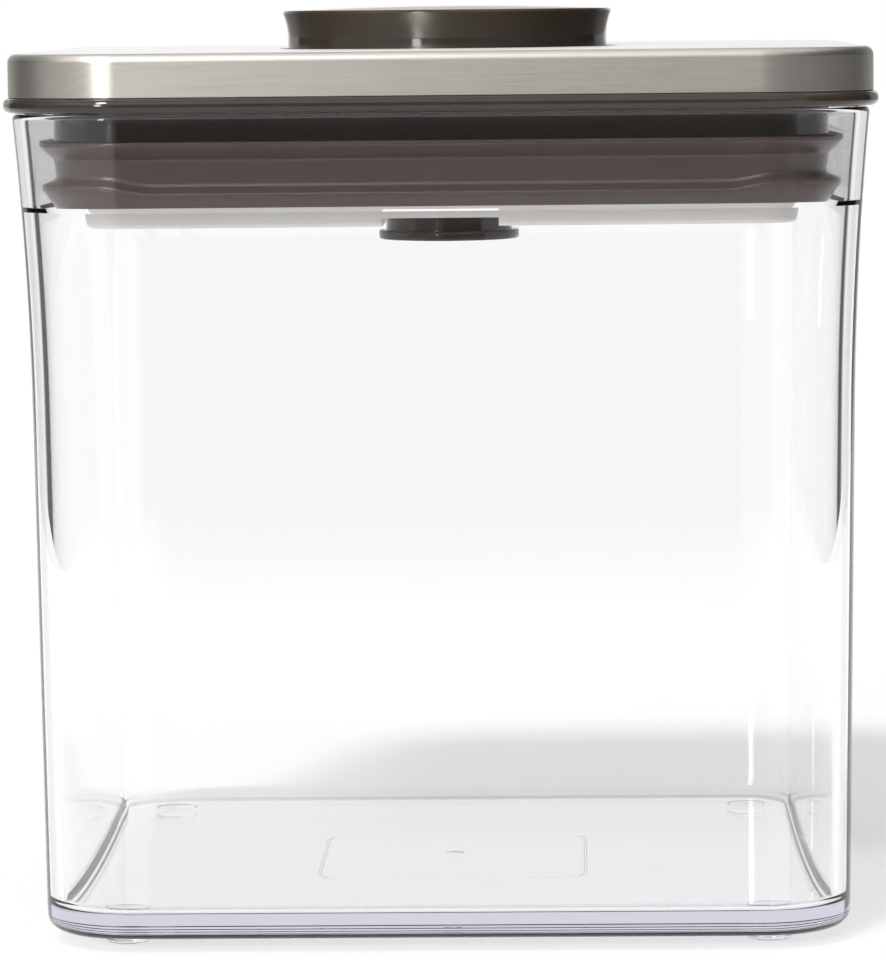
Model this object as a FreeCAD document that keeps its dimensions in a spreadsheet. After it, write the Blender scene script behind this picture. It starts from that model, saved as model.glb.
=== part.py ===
import FreeCAD, Part
import math
import os
import Sketcher
from types import SimpleNamespace
from FreeCAD import Vector

# A square see-through food keeper with a steel-topped lid.
# Pressing the round button pushes a tapered spreader down inside a silicone gasket,
# which swells against the tub; a push-push latch holds the button down.
# Millimetres, Z up. The origin is on the table, under the middle of the tub.
# The model is drawn with the button popped up, so the gasket is slack.

SIZES = {
    # Half width and height of the tub's rim; the other rings and levels step from them.
    "rim_half": 78.9,
    "tub_tall": 154.0,
    "rim_corner": 20.9,
    "overrun": 1.0,
    "pick_slack": 0.01,
    # Tub: a drafted wall that flares towards the rim, a thick floor and four feet.
    "flare_out": 2.9,
    "flare_tall": 54.0,
    "base_taper": 1.2,
    "wall_lower": 3.4,
    "wall_upper": 2.8,
    "fill_drop": 17.8,
    "ledge_tall": 0.7,
    "base_thick": 4.6,
    "floor_lap": 8.0,
    "base_round": 2.5,
    "floor_round": 2.0,
    "rim_round": 0.9,
    "foot_tall": 2.4,
    "foot_radius": 4.3,
    "foot_inset": 15.1,
    "foot_round": 0.7,
    # A plain raised frame under the floor, and the dimple left by the moulding gate.
    "frame_half": 26.0,
    "frame_front": 28.0,
    "frame_back": 21.5,
    "frame_corner": 4.5,
    "frame_line": 0.6,
    "frame_tall": 0.25,
    "gate_radius": 1.8,
    "gate_deep": 0.5,
    # Lid body: a bead that sits over the rim, a plug that hangs in the tub, a deck.
    "seat_gap": 0.25,
    "bead_tall": 2.75,
    "bead_out": 1.0,
    "bead_flat": 0.15,
    "lid_wall": 1.8,
    "deck_thick": 2.0,
    "neck_gap": 4.8,
    "core_step": 1.9,
    "core_wall": 1.5,
    "core_tall": 7.2,
    "rib_thick": 1.6,
    "rib_tall": 6.0,
    "boss_radius": 3.6,
    # Steel cover, drawn from sheet.
    "cover_out": 0.6,
    "cover_tall": 8.0,
    "cover_sheet": 0.6,
    "cover_round": 1.6,
    "cover_fit": 0.1,
    "cover_hole_gap": 0.2,
    # Gasket: a thin upper lip, a waist and a heavier lower lip with an inner nose.
    "gasket_drop": 4.8,
    "gasket_tall": 12.9,
    "upper_lip_out": 2.7,
    "upper_lip_edge": 0.9,
    "upper_lip_tall": 3.4,
    "waist_lean": 0.5,
    "lower_lip_out": 2.2,
    "lower_lip_edge": 0.9,
    "lower_lip_rise": 3.4,
    "lower_lip_root": 4.5,
    "lower_lip_under": 2.9,
    "lip_round": 0.4,
    "nose_lift": 0.7,
    "nose_tall": 2.0,
    "nose_gap": 0.4,
    "soft_fit": 0.1,
    # Spreader: a shallow tray with walls that lean out towards the top.
    "spreader_drop": 3.3,
    "spreader_tall": 12.4,
    "spreader_gap": 0.4,
    "spreader_lean": 2.2,
    "spreader_wall": 1.8,
    "spreader_floor": 2.0,
    "spreader_round": 1.0,
    "spreader_rib": 1.5,
    "spreader_rib_tall": 3.0,
    "hub_radius": 10.0,
    "hub_tall": 3.5,
    # Button: a flared shell with a domed steel cap, sliding in a round well.
    "button_rise": 7.3,
    "button_radius": 31.0,
    "button_flare_out": 1.0,
    "button_rim_edge": 0.5,
    "button_flare_tall": 5.5,
    "button_wall": 2.0,
    "button_top_thick": 2.4,
    "flange_lap": 0.3,
    "flange_tall": 1.0,
    "stop_gap": 0.2,
    "floor_gap": 1.3,
    "deck_hole_gap": 0.4,
    "well_gap": 0.3,
    "well_wall": 2.0,
    "cap_inset": 1.6,
    "cap_sheet": 0.6,
    "cap_crown": 0.7,
    "cap_fit": 0.1,
    "socket_wall": 2.4,
    "socket_tall": 5.7,
    # Guide plate: the floor of the well, with the tube that the plunger slides in.
    "plate_lap": 4.0,
    "plate_thick": 2.0,
    "tube_wall": 2.9,
    "socket_gap": 0.7,
    "seal_thick": 0.8,
    "boss_gap": 0.4,
    "screw_shank": 1.35,
    "screw_head": 2.8,
    "screw_head_tall": 1.6,
    "screw_reach": 7.5,
    "screw_fit": 0.05,
    # Plunger: joins button and spreader, carries the latch track and the bayonet lugs.
    "plunger_radius": 7.0,
    "slide_fit": 0.06,
    "stem_step": 2.0,
    "stem_long": 2.8,
    "lug_reach": 1.6,
    "lug_thick": 1.2,
    "lug_width": 3.0,
    "ring_section": 0.9,
    "ring_fit": 0.1,
    "ring_lift": 2.1,
    "button_screw_long": 11.0,
    # Latch arm: a bent wire that hangs from the plate and rides in the track.
    "wire_radius": 0.75,
    "arm_gap": 0.5,
    "hook_gap": 0.85,
    "hook_lift": 2.05,
    "pivot_drop": 1.7,
    "arm_bend": 1.4,
    "pivot_long": 6.0,
    "pivot_fit": 0.05,
    "bearing_gap": 0.6,
    "bearing_half": 2.4,
    "track_swing": 1.9,
    "track_play": 0.35,
    "track_deep": 1.6,
    "track_over": 0.8,
    "flat_deep": 0.6,
    # Knob: turns a quarter to let the spreader off for washing.
    "knob_radius": 13.7,
    "knob_lip": 1.4,
    "knob_neck_tall": 3.1,
    "knob_flange_tall": 1.8,
    "knob_crown": 0.5,
    "knob_round": 0.5,
    "knob_gap": 0.2,
    "knob_play": 0.2,
    # Return spring: round wire, closed end turns, between the plate and the button.
    "spring_room": 2.39,
    "spring_wire": 0.65,
    "spring_end_gap": 0.5,
    "spring_seat": 0.05,
    "spring_top_gap": 0.3,
}
SCREW_COUNT = 4
RIB_COUNT = 4
SPRING_HALF_TURNS = 11
SPRING_END_HALF_TURNS = 2

doc = FreeCAD.newDocument("FoodKeeper")
sheet = doc.addObject("Spreadsheet::Sheet", "Sizes")


class Size:
    """A length or ratio that knows its value and the sheet formula behind it."""

    def __init__(self, value, formula):
        self.value = value
        self.formula = formula

    @staticmethod
    def of(item):
        return item if isinstance(item, Size) else Size(float(item), repr(float(item)))

    def join(self, sign, other, value):
        return Size(value, f"({self.formula} {sign} {other.formula})")

    def __add__(self, other):
        other = Size.of(other)
        return self.join("+", other, self.value + other.value)

    def __sub__(self, other):
        other = Size.of(other)
        return self.join("-", other, self.value - other.value)

    def __mul__(self, other):
        other = Size.of(other)
        return self.join("*", other, self.value * other.value)

    def __truediv__(self, other):
        other = Size.of(other)
        return self.join("/", other, self.value / other.value)

    def __neg__(self):
        return Size(-self.value, f"(-{self.formula})")


S = SimpleNamespace()
for row, (name, number) in enumerate(SIZES.items(), start=1):
    sheet.set(f"A{row}", name)
    sheet.set(f"B{row}", str(number))
    sheet.setAlias(f"B{row}", name)
    setattr(S, name, Size(number, f"Sizes.{name}"))
doc.recompute()

# Half widths of the rounded-square rings; their corners share the same four centres.
corner_reach = S.rim_half - S.rim_corner
flare_half = S.rim_half - S.flare_out
base_half = flare_half - S.base_taper
cover_half = S.rim_half + S.cover_out
bead_half = cover_half + S.bead_out
neck_half = S.rim_half - S.wall_upper - S.neck_gap
core_half = neck_half - S.core_step
core_in = core_half - S.core_wall
upper_lip_half = neck_half + S.upper_lip_out
lower_lip_half = neck_half + S.lower_lip_out
spreader_half = core_in - S.spreader_gap - S.spreader_lean

# Radii of the round pieces, from the button out to the plate and from the plunger out.
button_rim = S.button_radius + S.button_flare_out
cap_radius = button_rim - S.cap_inset
deck_hole = button_rim + S.deck_hole_gap
cover_hole = deck_hole + S.cover_hole_gap
flange_radius = deck_hole + S.flange_lap
well_radius = flange_radius + S.well_gap
well_outer = well_radius + S.well_wall
screw_ring = well_outer + S.boss_gap + S.boss_radius
plate_radius = screw_ring + S.plate_lap
tube_bore = S.plunger_radius + S.slide_fit
tube_radius = tube_bore + S.tube_wall
spring_radius = tube_radius + S.spring_room + S.spring_wire
stem_radius = S.plunger_radius - S.stem_step
knob_neck = S.knob_radius - S.knob_lip

# Heights above the table, from the tub upwards and then down into the plug.
flare_from = S.tub_tall - S.flare_tall
fill_line = S.tub_tall - S.fill_drop
floor_top = S.foot_tall + S.base_thick
seat = S.tub_tall + S.seat_gap
bead_top = seat + S.bead_tall
bead_round = (S.bead_tall - S.bead_flat) / 2
lid_top = bead_top + S.cover_tall
deck_top = lid_top - S.cover_sheet
deck_under = deck_top - S.deck_thick
gasket_top = S.tub_tall - S.gasket_drop
gasket_low = gasket_top - S.gasket_tall
core_end = gasket_top - S.core_tall
spreader_low = gasket_low - S.spreader_drop
spreader_top = spreader_low + S.spreader_tall
tray_floor = spreader_low + S.spreader_floor
hub_top = tray_floor + S.hub_tall

# The button stops under the deck; the well is deep enough to take it flush.
button_top = lid_top + S.button_rise
button_low = deck_under - S.stop_gap - S.flange_tall
cap_seat = button_top - S.cap_sheet
button_under = cap_seat - S.button_top_thick
plate_top = button_low - S.button_rise - S.floor_gap
plate_under = plate_top - S.plate_thick
socket_low = button_under - S.socket_tall
tube_top = socket_low - S.button_rise - S.socket_gap
seal_top = plate_top + S.seal_thick
stem_low = spreader_low - S.stem_long

# The latch arm hangs beside the tube; its hook passes between the tube and the hub.
arm_x = tube_radius + S.arm_gap + S.wire_radius
hook_z = hub_top + S.hook_lift + S.wire_radius
tube_low = hook_z + S.wire_radius + S.hook_gap
pivot_z = plate_under - S.pivot_drop
bearing_from = arm_x + S.wire_radius + S.bearing_gap

# The hook's track in the plunger, and the sealing ring above it.
hook_room = S.wire_radius + S.track_play
latched = hook_z + S.button_rise
track_low = hook_z - hook_room
track_high = latched + hook_room + S.track_over
ring_z = track_high + S.ring_lift


def origin_part(body, role):
    return next(item for item in body.Origin.OriginFeatures if item.Role == role)


def new_body(label):
    body = doc.addObject("PartDesign::Body", label)
    body.Label = label
    return body


def new_sketch(body, name, role, lift=None):
    """A sketch on one of the body's own origin planes, lifted along its normal."""
    sketch = body.newObject("Sketcher::SketchObject", name)
    sketch.AttachmentSupport = (origin_part(body, role), [""])
    sketch.MapMode = "FlatFace"
    if lift is not None:
        sketch.setExpression("AttachmentOffset.Base.z", lift.formula)
    return sketch


def bind(sketch, kind, *places, size):
    number = sketch.addConstraint(Sketcher.Constraint(kind, *places, size.value))
    sketch.setExpression(f"Constraints[{number}]", size.formula)


def hold_point(sketch, geometry, end, place):
    """Ties one end of a line or arc to a place; a plain zero means on the axis."""
    for kind, axis, size in (("DistanceX", -2, place[0]), ("DistanceY", -1, place[1])):
        if isinstance(size, Size):
            bind(sketch, kind, geometry, end, size=size)
        else:
            sketch.addConstraint(Sketcher.Constraint("PointOnObject", geometry, end, axis))


def spot(place):
    return Vector(Size.of(place[0]).value, Size.of(place[1]).value, 0)


def arc_through(start, end, radius, side):
    """Middle of the shallow arc from start to end, with its centre on the given side."""
    chord = end - start
    half = chord.Length / 2
    sag = radius - math.sqrt(radius * radius - half * half)
    outward = Vector(chord.y, -chord.x, 0).normalize() * side
    return (start + end) / 2 + outward * sag


def chain(sketch, places, arcs=None, closed=True):
    """Lines through the places; arcs names the runs that bend: run: (radius, side).

    Side is 1 where the run turns left on its way and -1 where it turns right.
    """
    arcs = arcs or {}
    count = len(places)
    runs = []
    for index in range(count if closed else count - 1):
        start = spot(places[index])
        end = spot(places[(index + 1) % count])
        flipped = False
        if index in arcs:
            radius, side = arcs[index]
            middle = arc_through(start, end, radius.value, side)
            flipped = side < 0
            ends = (end, start) if flipped else (start, end)
            geometry = sketch.addGeometry(Part.Arc(ends[0], middle, ends[1]))
        else:
            geometry = sketch.addGeometry(Part.LineSegment(start, end))
        runs.append((geometry, 2 if flipped else 1, 1 if flipped else 2))
    for index, (geometry, first, last) in enumerate(runs):
        hold_point(sketch, geometry, first, places[index])
    for index, (geometry, first, last) in enumerate(runs):
        if closed or index + 1 < len(runs):
            after = runs[(index + 1) % len(runs)]
            sketch.addConstraint(Sketcher.Constraint("Coincident", geometry, last, after[0], after[1]))
        else:
            hold_point(sketch, geometry, last, places[-1])
    for index, (radius, side) in arcs.items():
        bind(sketch, "Radius", runs[index][0], size=radius)
    return sketch


def circle(sketch, radius, across=0, along=0):
    middle = spot((across, along))
    ring = sketch.addGeometry(Part.Circle(middle, Vector(0, 0, 1), radius.value))
    hold_point(sketch, ring, 3, (across, along))
    bind(sketch, "Radius", ring, size=radius)
    return sketch


def oblong(sketch, left, right, low, high):
    return chain(sketch, [(left, low), (right, low), (right, high), (left, high)])


def rounded_oblong(sketch, left, right, low, high, corner):
    return chain(sketch, [
        (left + corner, low), (right - corner, low), (right, low + corner), (right, high - corner),
        (right - corner, high), (left + corner, high), (left, high - corner), (left, low + corner),
    ], {run: (corner, 1) for run in (1, 3, 5, 7)})


def rounded_square(sketch, half):
    """A square of the given half width, cornered round the shared centres.

    It starts and ends in the middle of the front.
    """
    corner = half - corner_reach
    wide = half.value
    reach = corner_reach.value
    quarter = math.pi / 2
    turns = [(reach, -reach), (reach, reach), (-reach, reach), (-reach, -reach)]
    stops = [
        (0, -wide), (reach, -wide), (wide, -reach), (wide, reach), (reach, wide),
        (-reach, wide), (-wide, reach), (-wide, -reach), (-reach, -wide), (0, -wide),
    ]
    runs = []
    for index in range(9):
        if index % 2:
            middle = Vector(*turns[index // 2], 0)
            start = quarter * (index // 2 - 1)
            ring = Part.Circle(middle, Vector(0, 0, 1), corner.value)
            runs.append(sketch.addGeometry(Part.ArcOfCircle(ring, start, start + quarter)))
        else:
            start = Vector(*stops[index], 0)
            end = Vector(*stops[index + 1], 0)
            runs.append(sketch.addGeometry(Part.LineSegment(start, end)))
    link = Sketcher.Constraint
    for before, after in zip(runs, runs[1:]):
        sketch.addConstraint(link("Tangent", before, 2, after, 1))
    sketch.addConstraint(link("Coincident", runs[8], 2, runs[0], 1))
    sketch.addConstraint(link("PointOnObject", runs[0], 1, -2))
    for index in (0, 4, 8):
        sketch.addConstraint(link("Horizontal", runs[index]))
    for index in (2, 6):
        sketch.addConstraint(link("Vertical", runs[index]))
    for index in (3, 5, 7):
        sketch.addConstraint(link("Equal", runs[1], runs[index]))
    bind(sketch, "DistanceY", runs[0], 1, size=-half)
    bind(sketch, "DistanceX", runs[2], 1, size=half)
    bind(sketch, "DistanceY", runs[4], 1, size=half)
    bind(sketch, "DistanceX", runs[6], 1, size=-half)
    bind(sketch, "Radius", runs[1], size=corner)
    return sketch


def extrude(body, kind, sketch, length, reverse=False):
    feature = body.newObject(f"PartDesign::{kind}", f"{kind}{sketch.Name}")
    feature.Profile = sketch
    feature.setExpression("Length", length.formula)
    feature.Reversed = reverse
    return feature


def pad(body, sketch, length, reverse=False):
    return extrude(body, "Pad", sketch, length, reverse)


def pocket(body, sketch, length, reverse=False):
    """Cuts against the sketch's normal, or along it if reversed."""
    before = solid_volume(body)
    feature = extrude(body, "Pocket", sketch, length, reverse)
    if not solid_volume(body) < before:
        raise RuntimeError(f"{body.Label}: {sketch.Name} cuts nothing")
    return feature


def solid_volume(body):
    doc.recompute()
    return body.Shape.Volume


def revolve(body, places, arcs=None, name="Turned"):
    """Turns an outline given as (radius, height) round the upright axis."""
    sketch = chain(new_sketch(body, name, "XZ_Plane"), places, arcs)
    feature = body.newObject("PartDesign::Revolution", f"Revolve{name}")
    feature.Profile = sketch
    feature.ReferenceAxis = (sketch, ["V_Axis"])
    feature.Angle = 360.0
    return feature


def ring_sweep(body, path_half, places, arcs=None, name="Ring"):
    """Sweeps an outline given as (half width, height) round a rounded square."""
    path = rounded_square(new_sketch(body, f"{name}Path", "XY_Plane"), path_half)
    section = new_sketch(body, f"{name}Section", "YZ_Plane")
    chain(section, [(-half, height) for half, height in places], arcs)
    feature = body.newObject("PartDesign::AdditivePipe", f"{name}Sweep")
    feature.Profile = section
    feature.Spine = (path, [f"Edge{number}" for number in range(1, 10)])
    return feature


def polar(body, feature, count):
    pattern = body.newObject("PartDesign::PolarPattern", f"{feature.Name}Round")
    pattern.Originals = [feature]
    pattern.Axis = (origin_part(body, "Z_Axis"), [""])
    pattern.Angle = 360.0
    pattern.Occurrences = count
    body.Tip = pattern
    return pattern


def ring_half(point):
    """Half width of the rounded-square ring that passes through a point."""
    across = max(abs(point.x) - corner_reach.value, 0)
    along = max(abs(point.y) - corner_reach.value, 0)
    if across and along:
        return corner_reach.value + math.hypot(across, along)
    return max(abs(point.x), abs(point.y))


def fillet(body, radius, test, name):
    """Rounds every edge whose ends and middle all pass the test."""
    doc.recompute()
    base = body.Tip
    chosen = []
    for number, edge in enumerate(base.Shape.Edges, start=1):
        middle = edge.valueAt((edge.FirstParameter + edge.LastParameter) / 2)
        points = [vertex.Point for vertex in edge.Vertexes] + [middle]
        if all(test(point) for point in points):
            chosen.append(f"Edge{number}")
    if not chosen:
        raise RuntimeError(f"{body.Label}: no edge for {name}")
    feature = body.newObject("PartDesign::Fillet", name)
    feature.Base = (base, chosen)
    feature.setExpression("Radius", radius.formula)
    return feature


def on_level(height):
    return lambda point: abs(point.z - height.value) < S.pick_slack.value


def on_ring(half, height):
    level = on_level(height)
    return lambda point: level(point) and abs(ring_half(point) - half.value) < S.pick_slack.value


def on_circle(radius, height):
    level = on_level(height)
    return lambda point: (
        level(point) and abs(math.hypot(point.x, point.y) - radius.value) < S.pick_slack.value
    )


def make_tub():
    """The clear tub: drafted, flared wall with a fill-line ledge, floor and feet."""
    body = new_body("container")
    draft = S.base_taper / (flare_from - S.foot_tall)
    out = S.flare_out
    up = S.flare_tall
    bend = (out * out + up * up) / ((out - draft * up) * 2)

    def outer_half(height):
        rise = height - flare_from
        return flare_half + draft * rise + rise * rise / (bend * 2)

    lap_half = base_half - S.floor_lap
    ledge_top = fill_line + S.ledge_tall
    wall = [
        (lap_half, S.foot_tall),
        (base_half, S.foot_tall),
        (flare_half, flare_from),
        (S.rim_half, S.tub_tall),
        (S.rim_half - S.wall_upper, S.tub_tall),
        (outer_half(ledge_top) - S.wall_upper, ledge_top),
        (outer_half(fill_line) - S.wall_lower, fill_line),
        (flare_half - S.wall_lower, flare_from),
        (base_half + draft * S.base_thick - S.wall_lower, floor_top),
        (lap_half, floor_top),
    ]
    ring_sweep(body, base_half, wall, {2: (bend, 1), 4: (bend, -1), 6: (bend, -1)}, "Wall")
    slab = rounded_square(new_sketch(body, "Floor", "XY_Plane", S.foot_tall), lap_half + S.overrun)
    pad(body, slab, S.base_thick)
    place = base_half - S.foot_inset
    feet = new_sketch(body, "Feet", "XY_Plane")
    for across in (place, -place):
        for along in (place, -place):
            circle(feet, S.foot_radius, across, along)
    pad(body, feet, S.foot_tall)
    frame = new_sketch(body, "Frame", "XY_Plane", S.foot_tall)
    for inset in (Size.of(0), S.frame_line):
        half = S.frame_half - inset
        front = inset - S.frame_front
        rounded_oblong(frame, -half, half, front, S.frame_back - inset, S.frame_corner - inset)
    pad(body, frame, S.frame_tall, reverse=True)
    gate = circle(new_sketch(body, "Gate", "XY_Plane", S.foot_tall), S.gate_radius)
    pocket(body, gate, S.gate_deep, reverse=True)
    fillet(body, S.foot_round, on_level(Size.of(0)), "FootEdge")
    fillet(body, S.base_round, on_ring(base_half, S.foot_tall), "BaseEdge")
    inner = base_half + draft * S.base_thick - S.wall_lower
    fillet(body, S.floor_round, on_ring(inner, floor_top), "FloorEdge")
    fillet(body, S.rim_round, on_level(S.tub_tall), "RimEdge")
    return body


def make_lid_body():
    """The moulded carrier: rim bead, hanging plug, deck with the button's well."""
    body = new_body("lid_body")
    skirt = cover_half - S.cover_sheet - S.cover_fit
    skirt_top = deck_top - S.cover_round
    channel_floor = seat + S.lid_wall
    section = [
        (skirt, skirt_top),
        (skirt, bead_top),
        (bead_half, bead_top),
        (bead_half, seat),
        (neck_half, seat),
        (neck_half, gasket_top),
        (core_half, gasket_top),
        (core_half, core_end),
        (core_in, core_end),
        (core_in, deck_top),
        (core_in + S.lid_wall, deck_top),
        (core_in + S.lid_wall, channel_floor),
        (skirt - S.lid_wall, channel_floor),
        (skirt - S.lid_wall, skirt_top),
    ]
    ring_sweep(body, neck_half, section, name="Rim")
    deck = new_sketch(body, "Deck", "XY_Plane", deck_under)
    rounded_square(deck, core_in + S.lid_wall / 2)
    circle(deck, deck_hole)
    pad(body, deck, S.deck_thick)
    well = new_sketch(body, "Well", "XY_Plane", deck_under)
    circle(well, well_radius)
    circle(well, well_outer)
    pad(body, well, deck_under - seal_top, reverse=True)
    rib = new_sketch(body, "Rib", "XY_Plane", deck_under)
    half_rib = S.rib_thick / 2
    oblong(rib, well_radius + S.well_wall / 2, core_in + S.core_wall / 2, -half_rib, half_rib)
    polar(body, pad(body, rib, S.rib_tall, reverse=True), RIB_COUNT)
    boss = new_sketch(body, "Boss", "XY_Plane", deck_under)
    diagonal = screw_ring / math.sqrt(2)
    circle(boss, S.boss_radius, diagonal, diagonal)
    polar(body, pad(body, boss, deck_under - plate_top, reverse=True), SCREW_COUNT)
    pilot = new_sketch(body, "Pilot", "XY_Plane", plate_top)
    circle(pilot, S.screw_shank + S.screw_fit, diagonal, diagonal)
    polar(body, pocket(body, pilot, S.screw_reach, reverse=True), SCREW_COUNT)
    nose = lambda point: on_ring(bead_half, bead_top)(point) or on_ring(bead_half, seat)(point)
    fillet(body, bead_round, nose, "BeadEdge")
    return body


def make_cover():
    """The brushed steel cover: one drawn sheet with a rolled top edge and a round hole."""
    body = new_body("lid_cover")
    outside = rounded_square(new_sketch(body, "Outside", "XY_Plane", bead_top), cover_half)
    pad(body, outside, S.cover_tall)
    fillet(body, S.cover_round, on_ring(cover_half, lid_top), "TopEdge")
    inside_half = cover_half - S.cover_sheet
    inside = rounded_square(new_sketch(body, "Inside", "XY_Plane", bead_top), inside_half)
    pocket(body, inside, S.cover_tall - S.cover_sheet, reverse=True)
    fillet(body, S.cover_round - S.cover_sheet, on_ring(inside_half, deck_top), "InnerEdge")
    hole = circle(new_sketch(body, "Hole", "XY_Plane", lid_top + S.overrun), cover_hole)
    pocket(body, hole, S.cover_sheet + S.overrun * 2)
    return body


def spreader_half_at(height):
    return spreader_half + S.spreader_lean * (height - spreader_low) / S.spreader_tall


def make_gasket():
    """The silicone gasket, held round the plug by its waist."""
    body = new_body("gasket")
    inner = core_half + S.soft_fit
    top = gasket_top - S.soft_fit
    nose_low = gasket_low + S.nose_lift
    nose_high = nose_low + S.nose_tall
    lower_edge = gasket_low + S.lower_lip_rise
    section = [
        (inner, top),
        (upper_lip_half, top),
        (upper_lip_half, top - S.upper_lip_edge),
        (neck_half, top - S.upper_lip_tall),
        (neck_half - S.waist_lean, gasket_low + S.lower_lip_root),
        (lower_lip_half, lower_edge),
        (lower_lip_half, lower_edge - S.lower_lip_edge),
        (lower_lip_half - S.lower_lip_under, gasket_low),
        (spreader_half_at(nose_low) + S.nose_gap, nose_low),
        (spreader_half_at(nose_high) + S.nose_gap, nose_high),
        (inner, core_end),
    ]
    ring_sweep(body, neck_half, section, name="Seal")
    upper = on_ring(upper_lip_half, top)
    upper_under = on_ring(upper_lip_half, top - S.upper_lip_edge)
    lower = on_ring(lower_lip_half, lower_edge)
    lower_under = on_ring(lower_lip_half, lower_edge - S.lower_lip_edge)
    tips = (upper, upper_under, lower, lower_under)
    fillet(body, S.lip_round, lambda point: any(test(point) for test in tips), "LipEdges")
    return body


def make_spreader():
    """The light tray whose leaning wall wedges the gasket outwards."""
    body = new_body("spreader")
    low = spreader_half
    high = spreader_half + S.spreader_lean
    floor_half = spreader_half_at(tray_floor) - S.spreader_wall
    wall = [
        (floor_half, spreader_low),
        (low, spreader_low),
        (high, spreader_top),
        (high - S.spreader_wall, spreader_top),
        (floor_half, tray_floor),
    ]
    ring_sweep(body, spreader_half, wall, name="Wedge")
    slab = new_sketch(body, "Tray", "XY_Plane", spreader_low)
    rounded_square(slab, floor_half + S.spreader_wall / 2)
    pad(body, slab, S.spreader_floor)
    hub = circle(new_sketch(body, "Hub", "XY_Plane", tray_floor), S.hub_radius)
    pad(body, hub, S.hub_tall)
    rib = new_sketch(body, "TrayRib", "XY_Plane", tray_floor)
    half_rib = S.spreader_rib / 2
    oblong(rib, S.hub_radius - S.overrun, floor_half + S.spreader_wall / 2, -half_rib, half_rib)
    polar(body, pad(body, rib, S.spreader_rib_tall), RIB_COUNT)
    bore = circle(new_sketch(body, "Bore", "XY_Plane", hub_top + S.overrun), stem_radius + S.slide_fit)
    through = S.spreader_floor + S.hub_tall + S.overrun * 2
    pocket(body, bore, through)
    key = new_sketch(body, "Key", "XY_Plane", hub_top + S.overrun)
    half_key = S.lug_width / 2 + S.knob_play
    reach = stem_radius + S.lug_reach + S.knob_play
    oblong(key, -half_key, half_key, -reach, reach)
    pocket(body, key, through)
    fillet(body, S.spreader_round, on_ring(spreader_half, spreader_low), "TrayEdge")
    return body


def make_button_shell():
    """The button's moulded shell, with a stop flange below and a socket for the plunger."""
    body = new_body("button_shell")
    inner = S.button_radius - S.button_wall
    flange_top = button_low + S.flange_tall
    flare_low = button_top - S.button_flare_tall
    flare_high = button_top - S.button_rim_edge
    out = S.button_flare_out
    up = flare_high - flare_low
    flare_bend = (out * out + up * up) / (out * 2)
    head_hole = S.screw_head + S.screw_fit
    head_seat = cap_seat - S.screw_head_tall
    shank_hole = S.screw_shank + S.screw_fit
    socket = S.plunger_radius + S.slide_fit
    profile = [
        (inner, button_low),
        (flange_radius, button_low),
        (flange_radius, flange_top),
        (S.button_radius, flange_top),
        (S.button_radius, flare_low),
        (button_rim, flare_high),
        (button_rim - S.button_rim_edge, button_top),
        (cap_radius + S.cap_fit, button_top),
        (cap_radius + S.cap_fit, cap_seat),
        (head_hole, cap_seat),
        (head_hole, head_seat),
        (shank_hole, head_seat),
        (shank_hole, button_under),
        (socket, button_under),
        (socket, socket_low),
        (socket + S.socket_wall, socket_low),
        (socket + S.socket_wall, button_under),
        (inner, button_under),
    ]
    revolve(body, profile, {4: (flare_bend, -1), 5: (S.button_rim_edge, 1)})
    return body


def make_button_cap():
    """The thin domed steel disc let into the top of the button."""
    body = new_body("button_cap")
    dome = (cap_radius * cap_radius + S.cap_crown * S.cap_crown) / (S.cap_crown * 2)
    profile = [
        (0, cap_seat + S.cap_crown),
        (cap_radius, cap_seat),
        (cap_radius, cap_seat + S.cap_sheet),
        (0, cap_seat + S.cap_sheet + S.cap_crown),
    ]
    revolve(body, profile, {0: (dome, -1), 2: (dome, 1)})
    return body


def make_plunger():
    """The post from button to spreader, with latch track, seal groove and bayonet lugs."""
    body = new_body("plunger")
    pilot = S.screw_shank + S.screw_fit
    pilot_low = button_under - S.button_screw_long
    groove = S.plunger_radius - S.ring_section * 2
    groove_half = S.ring_section + S.ring_fit
    profile = [
        (0, stem_low),
        (stem_radius, stem_low),
        (stem_radius, hub_top),
        (S.plunger_radius, hub_top),
        (S.plunger_radius, ring_z - groove_half),
        (groove, ring_z - groove_half),
        (groove, ring_z + groove_half),
        (S.plunger_radius, ring_z + groove_half),
        (S.plunger_radius, button_under),
        (pilot, button_under),
        (pilot, pilot_low),
        (0, pilot_low),
    ]
    revolve(body, profile)
    lugs = new_sketch(body, "Lugs", "XY_Plane", stem_low)
    reach = stem_radius + S.lug_reach
    oblong(lugs, -S.lug_width / 2, S.lug_width / 2, -reach, reach)
    pad(body, lugs, S.lug_thick)

    # The hook climbs a slanting leg as the button goes down, rests at its upper end,
    # and comes back down the upright leg beyond the island.
    flat_x = S.plunger_radius - S.flat_deep
    flat = new_sketch(body, "Flat", "YZ_Plane", S.plunger_radius + S.overrun)
    oblong(flat, -S.plunger_radius, S.plunger_radius, track_low, track_high)
    pocket(body, flat, S.flat_deep + S.overrun)
    track = new_sketch(body, "Track", "YZ_Plane", flat_x + S.overrun)
    right = S.track_swing + hook_room
    chain(track, [
        (-hook_room, track_low),
        (hook_room, track_low),
        (right, latched),
        (right, track_high),
        (-right, track_high),
        (-right, latched),
    ])
    island_low = hook_z + hook_room * 2 + S.track_over
    island_half = S.track_swing - hook_room
    chain(track, [
        (0, island_low),
        (island_half, latched - S.track_over),
        (-island_half, latched - S.track_over),
    ])
    pocket(body, track, S.track_deep + S.overrun)
    return body


def make_o_ring():
    """The ring that seals the plunger in its tube."""
    body = new_body("plunger_o_ring")
    sketch = new_sketch(body, "Section", "XZ_Plane")
    circle(sketch, S.ring_section, S.plunger_radius - S.ring_section, ring_z)
    feature = body.newObject("PartDesign::Revolution", "RingTurn")
    feature.Profile = sketch
    feature.ReferenceAxis = (sketch, ["V_Axis"])
    feature.Angle = 360.0
    return body


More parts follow.
